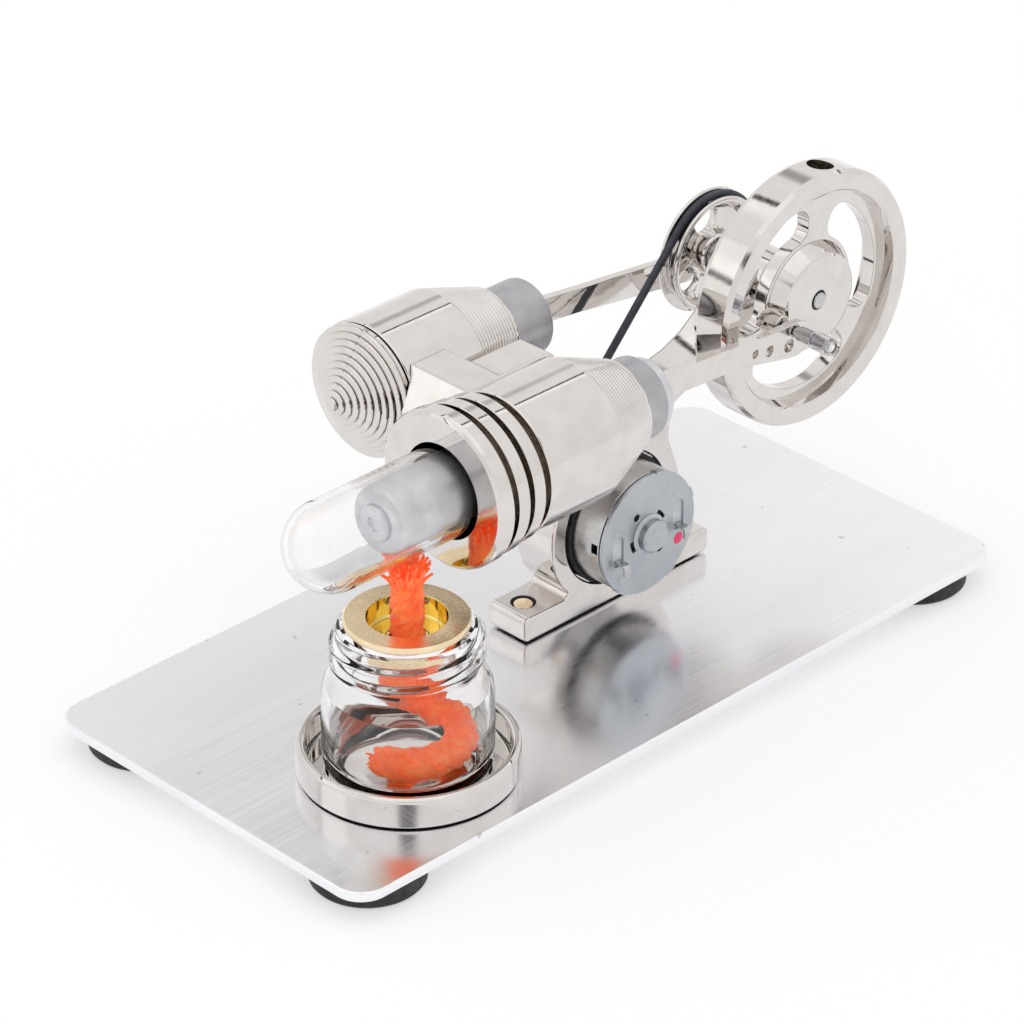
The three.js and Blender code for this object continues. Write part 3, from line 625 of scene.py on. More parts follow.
def rounded_rectangle(low, high, corner, steps=12):
    x0, y0, x1, y1 = low.x + corner, low.y + corner, high.x - corner, high.y - corner
    return (arc(x1, y0, corner, -90, 0, steps) + arc(x1, y1, corner, 0, 90, steps)
            + arc(x0, y1, corner, 90, 180, steps) + arc(x0, y0, corner, 180, 270, steps))


def make_base():
    low, high = box_mm("base_plate")
    loops = [rounded_rectangle(low, high, 5.5)]
    for name in SCREWS:
        spot = middle(name)
        loops.append(arc(spot.x, spot.y, 2.3, 0, 354, 40))
    piece("plate_sheet", flat_shape(loops, low.z, high.z, 0.35, "Z"), PLATE, "frame", ["base_plate"])

    for side in ("burner_left", "burner_right", "flywheel_left", "flywheel_right"):
        node = "foot_" + side
        low, high = box_mm(node)
        r = (high.x - low.x) / 2
        profile = [(0, low.z), (r - 3.2, low.z), (r - 2.8, low.z + 0.5), (r - 2.2, low.z + 0.5),
                   (r - 1.8, low.z),
                   (r - 0.5, low.z), (r, low.z + 0.6), (r, high.z), (0, high.z)]
        piece(node + "_pad", turned(profile, "Z", middle(node), 0.25), RUBBER, "frame", [node])

    for node in SCREWS:
        low, high = box_mm(node)
        head = (high.x - low.x) / 2
        neck = low.z + 1.5
        profile = [(0, low.z + 0.5), (1.0, low.z + 0.5), (1.2, low.z), (head - 0.4, low.z),
                   (head, low.z + 0.5),
                   (head, neck), (2, neck)]
        z = neck + 0.4
        while z < high.z - 0.7:   # turns of the thread
            profile += [(2, z), (1.75, z + 0.2)]
            z += 0.4
        profile += [(1.95, high.z - 0.3), (1.7, high.z), (0, high.z)]
        screw = turned(profile, "Z", middle(node), 0.06, segments=48)
        piece(node + "_turned", screw, BRASS, "frame", [node])


make_base()


# ---------------------------------------------------------------- burner

def make_burner():
    low, high, centre = measure("burner_tray")
    r = (high.x - low.x) / 2
    floor = low.z + 0.8
    profile = [(0, low.z), (r - 0.3, low.z), (r, low.z + 0.3), (r, high.z - 1.0), (r - 0.15, high.z - 0.4),
               (r - 0.6, high.z), (r - 1.2, high.z), (r - 1.6, high.z - 0.4), (r - 1.7, high.z - 1.0),
               (r - 1.7, floor + 0.4), (r - 2.1, floor), (0, floor)]
    piece("tray_nickel", turned(profile, "Z", centre, 0.3), NICKEL, "frame", ["burner_tray"])

    low, high, centre = measure("burner_jar")
    r = (high.x - low.x) / 2
    base, top = low.z, high.z
    neck = r - 2.6
    mouth = r - 5.5
    outside = [(0, base + 0.5), (r - 4.5, base + 0.35), (r - 3.2, base), (r - 1.6, base),
               (r - 0.5, base + 0.6),
               (r, base + 2.2), (r, base + 13.8), (r - 0.25, base + 15.6), (r - 1.0, base + 17.1),
               (r - 1.9, base + 18.1), (neck, base + 19.2)]
    turns = [(neck, base + 19.2 + 0.1 * k) for k in range(1, int((top - 1.2 - base - 19.2) / 0.1))]
    lip = [(neck, top - 1.1), (neck - 0.2, top - 0.4), (neck - 0.8, top), (mouth + 0.7, top),
           (mouth, top - 0.5),
           (mouth, base + 18.6)]
    inside = [(mouth + 0.4, base + 17.5), (r - 3.0, base + 16.2), (r - 1.9, base + 14.9),
              (r - 1.45, base + 13.2),
              (r - 1.4, base + 4.0), (r - 1.9, base + 2.7), (r - 3.2, base + 1.8), (r - 6, base + 1.5),
              (0, base + 1.9)]
    pitch = 3.4
    thread_from = base + 20.2
    thread_to = top - 1.6

    def thread(radius, z, turn):
        if radius < neck - 0.05 or z < base + 19.3 or z > top - 1.15:
            return 0
        phase = ((z - thread_from) / pitch - turn / (2 * math.pi)) % 1.0
        ridge = math.exp(-((phase - 0.5) * pitch / 0.72) ** 4)
        fade = min(1, max(0, (z - thread_from + 0.6) / 0.8)) * min(1, max(0, (thread_to + 0.4 - z) / 0.7))
        return 1.1 * ridge * fade

    profile = rounded(outside, 0.9, steps=4) + [Vector(p) for p in turns] + rounded(lip + inside, 0.4)
    jar = revolve(profile, "Z", centre, segments=ROUND, bulge=thread)
    piece("jar_glass", jar, GLASS, "frame", ["burner_jar"])

    low, high, centre = measure("wick_holder")
    r = (high.x - low.x) / 2
    cup = 6.9
    floor = high.z - 4
    flange = high.z - 1.2
    profile = [(3.8, low.z), (8.4, low.z), (8.4, flange), (r - 0.15, flange), (r, flange + 0.2),
               (r, high.z - 0.25),
               (r - 0.25, high.z), (cup + 0.1, high.z), (cup, high.z - 0.1), (cup, floor + 0.4),
               (cup - 0.4, floor), (3.8, floor)]
    holder = turned(profile, "Z", centre, 0.12, True)
    inner = cup + 0.08

    def in_cup(p):
        return (p.xy - centre.xy).length < inner and p.z > low.z + 0.1

    paint(holder, 1, in_cup)
    piece("holder_brass", holder, [BRASS, BRASS_BRIGHT], "frame", ["wick_holder"])


make_burner()


# ---------------------------------------------------------------- cylinders

def fine_grooves(start, end, r0, r1, pitch, depth):
    """A taper cut with fine round-bottomed turning grooves."""
    count = int(round((end - start) / pitch))
    out = []
    for k in range(count):
        for part, dip in ((0.0, 0.0), (0.34, 0.0), (0.48, 0.6), (0.67, 1.0), (0.86, 0.6)):
            t = (k + part) / count
            out.append((r0 + (r1 - r0) * t - depth * dip, start + (end - start) * t))
    return out


def make_hot_cylinder():
    low, high, centre = measure("hot_cylinder")
    r = (high.x - low.x) / 2
    end_r = 9.0
    taper = high.y - 11
    liner_r = 7.8
    outside = [(liner_r, low.y), (r - 0.2, low.y), (r, low.y + 0.3), (r, taper - 0.4)]
    grooves = fine_grooves(taper, high.y - 0.5, r, end_r, 0.88, 0.16)
    rest = [(end_r - 0.2, high.y), (liner_r, high.y)]
    profile = rounded(outside, 0.25) + [Vector(p) for p in grooves] + rounded(rest, 0.1)
    piece("hot_body", revolve(profile, "Y", centre, True), NICKEL, "frame", ["hot_cylinder"])

    low, high, centre = measure("finned_head")
    r = (high.x - low.x) / 2
    floor = 10.8
    mouth = 8.65
    profile = [(mouth, low.y), (r - 0.9, low.y), (r - 0.3, low.y + 0.3), (r, low.y + 0.9)]
    for k in range(3):
        start = low.y + 3.2 + 4 * k
        fin = r - 0.4 * k
        profile += [(fin, start - 0.15), (fin - 0.15, start), (floor, start)]
        back = min(start + 1.5, high.y)
        profile.append((floor, back))
        if back < high.y:
            profile += [(fin - 0.55, back), (fin - 0.4, back + 0.15)]
    profile.append((mouth, high.y))
    head = turned(profile, "Y", centre, 0.12, True)
    # painted shade: the grooves between the fins take the dark nickel
    paint(head, 1, lambda p: mouth + 0.2 < math.hypot(p.x - centre.x, p.z - centre.z) < floor + 1.4
          and p.y > low.y + 2)
    piece("head_fins", head, [NICKEL, NICKEL_PAINTED_SHADE], "frame", ["finned_head"])

    low, high, centre = measure("glass_tube")
    r = (high.x - low.x) / 2
    wall = 1.1
    dome = low.y + r
    outer = [(r * math.sin(math.radians(t)), dome - r * math.cos(math.radians(t))) for t in range(0, 91, 5)]
    inside = r - wall
    inner = [(inside * math.sin(math.radians(t)), dome - inside * math.cos(math.radians(t)))
             for t in range(90, -1, -5)]
    profile = outer + [(r, high.y - 0.2), (r - wall / 2, high.y), (inside, high.y - 0.2)] + inner
    tube_bm = revolve([Vector(p) for p in profile], "Y", centre)
    piece("tube_glass", tube_bm, GLASS, "frame", ["glass_tube"])


def make_cold_cylinder():
    low, high, centre = measure("cold_cylinder")
    r = (high.x - low.x) / 2
    end_r = 8.8
    taper = high.y - 12
    seat = 7.5
    outside = [(0, low.y), (r - 0.2, low.y), (r, low.y + 0.3), (r, taper - 0.4)]
    grooves = fine_grooves(taper, high.y - 0.5, r, end_r, 0.88, 0.16)
    seat_end = box_mm("cold_liner")[0].y - 0.3
    rest = [(end_r - 0.2, high.y), (seat, high.y), (seat, seat_end), (0, seat_end)]
    profile = rounded(outside, 0.25) + [Vector(p) for p in grooves] + rounded(rest, 0.1)
    piece("cold_body", revolve(profile, "Y", centre), NICKEL, "frame", ["cold_cylinder"])

    low, high, centre = measure("cold_end_cap")
    r = (high.x - low.x) / 2
    rings = 11
    tip = 1.3
    step_y = (high.y - 0.9 - low.y) / rings
    profile = [(0, low.y), (tip * 0.7, low.y)]
    for k in range(rings):
        a = tip + (r - tip) * k / (rings - 1)
        y = low.y + step_y * k
        for t, out in ((0.12, -0.32), (0.35, -0.06), (0.62, 0.0), (0.86, -0.1), (1.0, -0.42)):
            profile.append((a + out if k or t > 0.3 else a + out / 2, y + step_y * t))
        if k < rings - 1:
            profile.append((a + (r - tip) / (rings - 1) * 0.45 - 0.2, y + step_y * 1.05))
    profile += [(r, high.y - 0.7), (r, high.y - 0.15), (r - 0.15, high.y), (0, high.y)]
    nose = revolve([Vector(p) for p in profile], "Y", centre)
    piece("nose_rings", nose, NICKEL, "frame", ["cold_end_cap"])


def make_liners():
    for node, bore in (("hot_liner", 6.5), ("cold_liner", 6.3)):
        low, high = box_mm(node)
        r = (high.x - low.x) / 2
        end = high.y
        profile = [(bore, low.y), (r, low.y), (r, end - 1.1), (r - 0.12, end - 0.5), (r - 0.4, end - 0.15),
                   (r - 0.75, end), (bore + 0.15, end), (bore, end - 0.2)]
        sleeve = turned(profile, "Y", middle(node), 0.1, True)
        piece(node + "_sleeve", sleeve, TURNED, "frame", [node])


make_hot_cylinder()
make_cold_cylinder()
make_liners()


# ---------------------------------------------------------------- castings

def make_castings():
    gen = middle("generator_can")
    crank = middle("crankshaft")
    low, high = box_mm("engine_pedestal")
    foot_top = low.z + 5
    ring_r = 16.2
    drop = foot_top - gen.z
    reach = math.sqrt(ring_r ** 2 - drop ** 2)
    meet = math.degrees(math.atan2(drop, reach))
    foot = [(low.y, low.z), (high.y, low.z), (high.y, foot_top), (gen.y + reach + 1.6, foot_top)]
    right = arc(gen.y, gen.z, ring_r, meet + 4, 18, 16)
    neck = [(gen.y + 14.2, gen.z + 8.4), (gen.y + 13.2, gen.z + 11), (gen.y + 13.3, gen.z + 13.6),
            (gen.y + 14.4, gen.z + 16.6), (gen.y + 9, gen.z + 19.4), (gen.y - 23, gen.z + 19.4),
            (gen.y - 17.5, gen.z + 8)]
    left = arc(gen.y, gen.z, ring_r, 160, 176 - meet, 22)
    back = [(gen.y - reach - 1.6, foot_top), (low.y, foot_top)]
    outline = rounded(foot + right + neck + left + back, 1.4, True, 5)
    bore = arc(gen.y, gen.z, 12.65, 0, 357, 120)
    pedestal = flat_shape([outline, bore], low.x, high.x, 0.55, "X", 3)
    holes = []
    for node in SCREWS:
        spot = middle(node)
        holes.append(bar(2.35, low.z - 1, foot_top + 1, "Z", spot, 0.01))
    pedestal = cut(pedestal, *holes)
    piece("pedestal_casting", pedestal, NICKEL, "frame", ["engine_pedestal"])
    for node in SCREWS:
        spot = middle(node)
        # painted shade: a near-black hoop fills the gap between each screw and its hole
        lip = hoop(2.02, 2.34, foot_top - 1.2, foot_top - 0.12, "Z", spot, 0.05, 48)
        piece(node + "_ring", lip, PAINTED_SHADE_DARK, "frame")

    low, high = box_mm("bearing_arm")
    x0, x1 = -6.5, 1.7
    y, z = crank.y, middle("hot_cylinder").z
    under = [(y - 33.6, z - 13), (y - 26.5, z - 16.3), (y - 19.2, z - 13.4), (y - 9.5, z - 9.6),
             (y - 3.3, z - 5.4),
             (y + 0.2, z)]
    over = [(y - 3, z + 4.6), (y - 7.5, z + 0.2), (y - 12.6, z - 4.6), (y - 16.8, z - 7.6),
            (y - 21.2, z - 9.5),
            (y - 26, z - 10.5), (y - 33, z - 10.8), (y - 41.8, z - 10), (y - 54.8, z - 7), (y - 55.8, z + 6),
            (y - 70.8, z + 6), (y - 70.8, z - 13)]
    arm = flat_shape([rounded(under + over, 2.2, True, 5)], x0, x1, 0.8, "X", 3)
    boss_r = 5.6
    boss = [(2.6, low.x), (boss_r - 0.5, low.x), (boss_r, low.x + 0.5), (boss_r, high.x - 0.5),
            (boss_r - 0.5, high.x), (2.6, high.x)]
    arm = fuse(arm, turned(boss, "X", crank, 0.15, True, 96))
    arm = cut(arm, bar(4.3, low.x - 1, low.x + 3.3, "X", crank, 0.01),
              bar(4.3, high.x - 3.3, high.x + 1, "X", crank, 0.01),
              bar(2.5, low.x - 2, high.x + 2, "X", crank, 0.01))
    piece("arm_casting", arm, NICKEL, "frame", ["bearing_arm"])

    low, high = box_mm("cylinder_bridge")
    outline = [(low.y, low.z), (high.y, low.z), (high.y, high.z), (low.y + 5, high.z), (low.y, high.z - 6.5)]
    bridge = flat_shape([rounded(outline, 0.6, True, 4)], low.x - 1.5, high.x + 1.5, 0.3, "X", 2)
    hot, cold, head = middle("hot_cylinder"), middle("cold_cylinder"), middle("finned_head")
    bridge = cut(bridge, bar(13.15, -60, high.y + 1, "Y", hot, 0.01, ROUND),
                 bar(12.55, -60, high.y + 1, "Y", cold, 0.01, ROUND),
                 bar(14.5, -60, box_mm("finned_head")[1].y + 0.2, "Y", head, 0.01, ROUND))
    piece("bridge_casting", bridge, NICKEL, "frame", ["cylinder_bridge"])

    for node in ("bearing_pulley_side", "bearing_flywheel_side"):
        low, high = box_mm(node)
        races = join(hoop(1.8, 2.5, low.x, high.x, "X", crank, 0.1, 64),
                     hoop(2.55, 3.35, low.x + 0.25, high.x - 0.25, "X", crank, 0.05, 64),
                     hoop(3.4, 4, low.x, high.x, "X", crank, 0.1, 64))
        piece(node + "_race", races, STEEL, "frame", [node])


make_castings()


# ---------------------------------------------------------------- pistons and rods

def skirt_lines(r, start, end, pitch, depth):
    out = []
    y = start
    while y + pitch <= end:
        out += [(r, y), (r, y + pitch * 0.6), (r - depth, y + pitch * 0.8)]
        y += pitch
    out.append((r, end))
    return out


def make_pistons():
    for kind, bore, depth in (("hot", 5.2, 13.2), ("cold", 5.0, 9)):
        node = kind + "_piston"
        low, high = box_mm(node)
        floor = high.y - depth
        centre = middle(node)
        r = (high.x - low.x) / 2
        front = low.y
        if kind == "hot":        # the stepped end that shows in the glass tube
            crown = [(0, front + 0.35), (1.1, front + 0.35), (1.3, front), (2.9, front), (3.3, front + 0.25),
                     (3.4, front + 0.75), (4.6, front + 0.75), (5.4, front + 0.95), (r - 0.15, front + 1.5)]
            body = [(r, front + 1.9), (r, high.y - 0.3)]
        else:
            crown = [(0, front), (r - 0.3, front)]
            body = skirt_lines(r, front + 0.5, high.y - 0.3, 1.3, 0.05)
        profile = [Vector(p) for p in crown + body]
        profile += [Vector(p) for p in [(r - 0.15, high.y), (bore + 0.1, high.y), (bore, high.y - 0.15),
                                        (bore, floor), (0, floor)]]
        pin = middle(kind + "_wrist_pin")
        drill = bar(1.2, centre.x - 20, centre.x + 20, "X", pin, 0.01, 32)
        body_bm = cut(revolve(profile, "Y", centre, segments=120), drill)
        surface = DISPLACER if kind == "hot" else STEEL
        piece(node + "_turned", body_bm, surface, kind + "_piston_set", [node])
        low, high = box_mm(kind + "_wrist_pin")
        piece(kind + "_wrist_rod", bar(0.9, low.x, high.x, "X", pin, 0.15, 40), STEEL, kind + "_piston_set",
              [kind + "_wrist_pin"])


def round_hole(y, z, radius):
    return arc(y, z, radius, 0, 348, 29)


def make_rods():
    wrist, pin = middle("hot_wrist_pin"), middle("hot_crank_pin")
    low, high = box_mm("hot_connecting_rod")
    w, p = wrist.yz, pin.yz
    outline = [(w.x, w.y + 2.4), (w.x + 21, w.y + 1.1), (p.x - 6, p.y + 1.7)]
    outline += [(p.x + 1.6, p.y + 1.5), (p.x + 3.2, p.y + 0.6), (p.x + 4.1, p.y - 1.2),
                (p.x + 3.9, p.y - 3.2),
                (p.x + 2.6, p.y - 4.7), (p.x + 0.8, p.y - 5.2), (p.x - 1.2, p.y - 5.0)]
    outline += [(p.x - 14, p.y - 2.2), (w.x, w.y - 2.4)]
    outline += arc(w.x, w.y, 2.4, 265, 95, 14)
    holes = [round_hole(w.x, w.y, 1.2), round_hole(p.x, p.y, 1.2), round_hole(p.x - 1.5, p.y - 2.4, 1.25),
             round_hole(p.x - 6.6, p.y - 1.6, 1.0), round_hole(p.x - 10.3, p.y - 0.8, 0.8)]
    rod = flat_shape([rounded(outline, 1.2, True, 4), *holes], low.x, high.x, 0.18)
    piece("hot_rod_plate", rod, NICKEL, "hot_rod_set", ["hot_connecting_rod"])

    wrist, pin = middle("cold_wrist_pin"), middle("cold_crank_pin")
    low, high = box_mm("cold_connecting_rod")
    w, p = wrist.yz, pin.yz
    outline = [(w.x, w.y + 2.5), (w.x + 20, w.y - 0.1), (p.x, p.y + 2.9)] + arc(p.x, p.y, 2.9, 85, -85, 14)
    outline += [(p.x, p.y - 2.9), (w.x + 20, w.y - 5), (w.x, w.y - 2.5)] + arc(w.x, w.y, 2.5, 265, 95, 14)
    holes = [round_hole(w.x, w.y, 1.2), round_hole(p.x, p.y, 1.2), round_hole(p.x - 5.4, p.y + 0.6, 0.9),
             round_hole(p.x - 9, p.y + 1.1, 0.9)]
    rod = flat_shape([rounded(outline, 1.0, True, 3), *holes], low.x, high.x, 0.18)
    piece("cold_rod_plate", rod, NICKEL, "cold_rod_set", ["cold_connecting_rod"])

    r = 0.9
    for kind in ("hot", "cold"):
        low, high, pin = measure(kind + "_crank_pin")
        if kind == "hot":
            side = [(r, low.x), (r, high.x - 0.2), (r - 0.2, high.x)]
        else:
            side = [(r - 0.2, low.x), (r, low.x + 0.2), (r, high.x)]
        steel = turned([(0, low.x), *side, (0, high.x)], "X", pin, 0.08, segments=48)
        piece(kind + "_pin_steel", steel, STEEL, kind + "_rod_set", [kind + "_crank_pin"])
    for kind in ("hot", "cold"):
        low, high, pin = measure(kind + "_pin_collar")
        collar = hoop(1.0, 1.7, low.x, high.x, "X", pin, 0.15, 48)
        piece(kind + "_collar_clear", collar, SLEEVE_CLEAR, kind + "_rod_set", [kind + "_pin_collar"])
        if kind == "hot":
            ferrule = hoop(0.93, 1.35, high.x - 3.9 - 3.4, low.x - 0.1, "X", pin, 0.1, 48)
            piece("hot_pin_ferrule", ferrule, STEEL, "hot_rod_set")


make_pistons()
make_rods()


# ---------------------------------------------------------------- crankshaft, flywheel and pulley

WINDOW_IN = 11.2
WINDOW_OUT = 17.9
WINDOW_HALF = 49                 # degrees, from a window's middle to its end
WINDOW_FIRST = 20                # degrees, the first window's middle
WINDOW_CORNER = 3.0
RIM_HOLE_ANGLE = 81              # degrees, counted from +Y towards +Z


def slot_outline(angle, cy, cz):
    """The window's outline with its four corners rounded by real arcs."""
    corner, half = WINDOW_CORNER, WINDOW_HALF
    out = []
    for radius, first, last, sign in ((WINDOW_OUT, -half, half, -1), (WINDOW_IN, half, -half, 1)):
        mid = radius + sign * corner
        inset = math.degrees(math.asin(corner / mid))
        a = angle + first + math.copysign(inset, last - first)
        b = angle + last - math.copysign(inset, last - first)
        for centre_angle, turn in ((a, 0), (b, 1)):
            t = math.radians(centre_angle)
            cc = (cy + mid * math.cos(t), cz + mid * math.sin(t))
            first_turn = 90 * (turn + sign)
            out += arc(*cc, corner, centre_angle + first_turn, centre_angle + (first_turn + 90), 7)
            if turn == 0:
                out += arc(cy, cz, radius, a, b, 26)[1:-1]
    return out


def make_wheel():
    crank = middle("crankshaft")
    low, high = box_mm("flywheel")
    r = (high.z - low.z) / 2
    rim, inner = r - 3.8, r - 4.5
    front, back = 12.0, low.x
    web_front, web_back = 9.5, 6.5
    hub_front = 12.4
    windows = [slot_outline(WINDOW_FIRST + 120 * k, crank.y, crank.z) for k in range(3)]
    disc = arc(crank.y, crank.z, inner + 0.6, 0, 358, 179)
    shaft_hole = arc(crank.y, crank.z, 1.8, 0, 350, 35)
    web = flat_shape([disc, *windows, shaft_hole], web_back, web_front, 0.28, "X", 3)
    rim_profile = [(inner, web_front - 0.4), (inner + 0.1, web_front), (rim - 0.05, front - 0.3),
                   (rim + 0.3, front), (r - 0.6, front), (r, front - 0.9), (r, back + 1.4),
                   (r - 0.4, back + 0.5),
                   (r - 1.2, back), (rim + 0.3, back), (rim - 0.05, back + 0.3), (inner + 0.1, web_back),
                   (inner, web_back + 0.4)]
    ring = turned(rim_profile, "X", crank, 0.25, True, 192)
    hole_angle = math.radians(RIM_HOLE_ANGLE)
    drill = bar(2.5, inner - 2, r + 3, "Z", Vector((0, 0, 0)), 0.01, 48)
    turn = Matrix.Rotation(hole_angle - math.pi / 2, 4, "X")
    place = Matrix.Translation(Vector(((front + back) / 2, crank.y, crank.z)))
    bmesh.ops.transform(drill, matrix=place @ turn, verts=drill.verts)
    ring = cut(ring, drill)
    hub = [(1.8, web_back + 0.4), (1.8, 4.3), (2.1, 4.1), (5.0, 4.1), (5.5, 4.6), (7.2, web_back - 0.1),
           (7.4, web_back + 0.4), (10.4, web_front - 0.4), (10.6, web_front - 0.05), (8.9, hub_front - 0.3),
           (8.3, hub_front), (2.1, hub_front), (1.8, hub_front - 0.3)]
    hub_bm = turned(hub, "X", crank, 0.35, True, 160)
    pin = middle("hot_crank_pin")
    tip = box_mm("crankshaft")[1].x
    cone = [(0, web_front - 1), (2.7, web_front - 1), (2.6, web_front), (1.7, tip), (0, tip)]
    boss = turned(cone, "X", pin, 0.3, segments=64)
    wheel = fuse(web, ring, hub_bm, boss)
    # painted shade: the wall of the rim hole takes the dark nickel
    paint(wheel, 1, lambda p: abs(p.x - (front + back) / 2) < 2.45
          and rim - 2 < math.hypot(p.y - crank.y, p.z - crank.z) < r - 0.15
          and abs(math.degrees(math.atan2(p.z - crank.z, p.y - crank.y)) - RIM_HOLE_ANGLE) < 7.5)
    piece("flywheel_casting", wheel, [NICKEL, NICKEL_PAINTED_SHADE], "crank", ["flywheel"])

    low, high = box_mm("crankshaft")
    profile = [(0, low.x), (1.2, low.x), (1.5, low.x + 0.3), (1.5, high.x - 0.3), (1.2, high.x), (0, high.x)]
    shaft = turned(profile, "X", crank, 0.06, segments=64)
    piece("shaft_steel", shaft, STEEL, "crank", ["crankshaft"])
    # painted shade: a near-black hoop round the shaft where it enters the hub
    shadow = hoop(1.52, 1.79, high.x - 2, hub_front - 0.35, "X", crank, 0.04, 64)
    piece("shaft_hub_painted_shade", shadow, PAINTED_SHADE_DARK, "crank")


def make_pulley():
    crank = middle("crankshaft")
    low, high = box_mm("crank_pulley")
    back_r, front_r, floor = 12.0, 11.2, 10.3
    f, b = high.x, low.x
    profile = [(1.8, b), (back_r - 0.3, b), (back_r, b + 0.3), (back_r - 0.1, b + 0.75),
               (floor + 0.15, b + 1.15),
               (floor, b + 1.5), (floor, f - 1.5), (floor + 0.15, f - 1.1), (front_r - 0.1, f - 0.75),
               (front_r, f - 0.35), (front_r - 0.35, f), (front_r - 1.0, f - 0.1), (9.5, f - 0.9),
               (8.9, f - 2.0),
               (8.3, f - 2.4), (5.0, f - 2.4), (4.4, f - 2.1), (4.0, f - 0.5), (3.6, f), (2.0, f),
               (1.8, f - 0.2)]
    wheel = turned(profile, "X", crank, 0.25, True, 128)
    drills = []
    for k in range(3):
        spot = polar(crank, 6.6, 100 + 120 * k)
        drills.append(bar(2.7, b - 2, f + 2, "X", spot, 0.01, 48))
    wheel = cut(wheel, *drills)
    piece("pulley_nickel", wheel, NICKEL, "crank", ["crank_pulley"], bevel=0.12)


def belt_line(steps=40):
    """The belt's middle line round both pulleys, as (y, z) points."""
    crank, gen = middle("crankshaft"), middle("generator_shaft")
    half = 0.3 + 0.65
    big, small = 10.3 + half, 2.7 + half
    away = gen.yz - crank.yz
    toward = math.degrees(math.atan2(away.y, away.x))
    lean = math.degrees(math.acos((big - small) / away.length))
    outline = arc(crank.y, crank.z, big, toward + lean, toward - lean + 360, steps * 2)
    outline += arc(gen.y, gen.z, small, toward - lean, toward + lean, steps)
    return outline


def make_belt():
    low, high = box_mm("drive_belt")
    x = (low.x + high.x) / 2
    section = rounded([(-0.62, -0.65), (0.62, -0.65), (0.62, 0.65), (-0.62, 0.65)], 0.45, True, 4)
    points = belt_line()
    count = len(points)
    bm = bmesh.new()
    rings = []
    for i, (y, z) in enumerate(points):
        before, after = Vector(points[i - 1]), Vector(points[(i + 1) % count])
        along = (after - before).normalized()
        out = Vector((along.y, -along.x))
        rings.append([bm.verts.new((x + s.x, y + out.x * s.y, z + out.y * s.y)) for s in section])
    skin(bm, rings, True)
    bmesh.ops.recalc_face_normals(bm, faces=bm.faces)
    piece("belt_loop", bm, BELT, "frame", ["drive_belt"])


make_wheel()
make_pulley()
make_belt()


# ---------------------------------------------------------------- generator

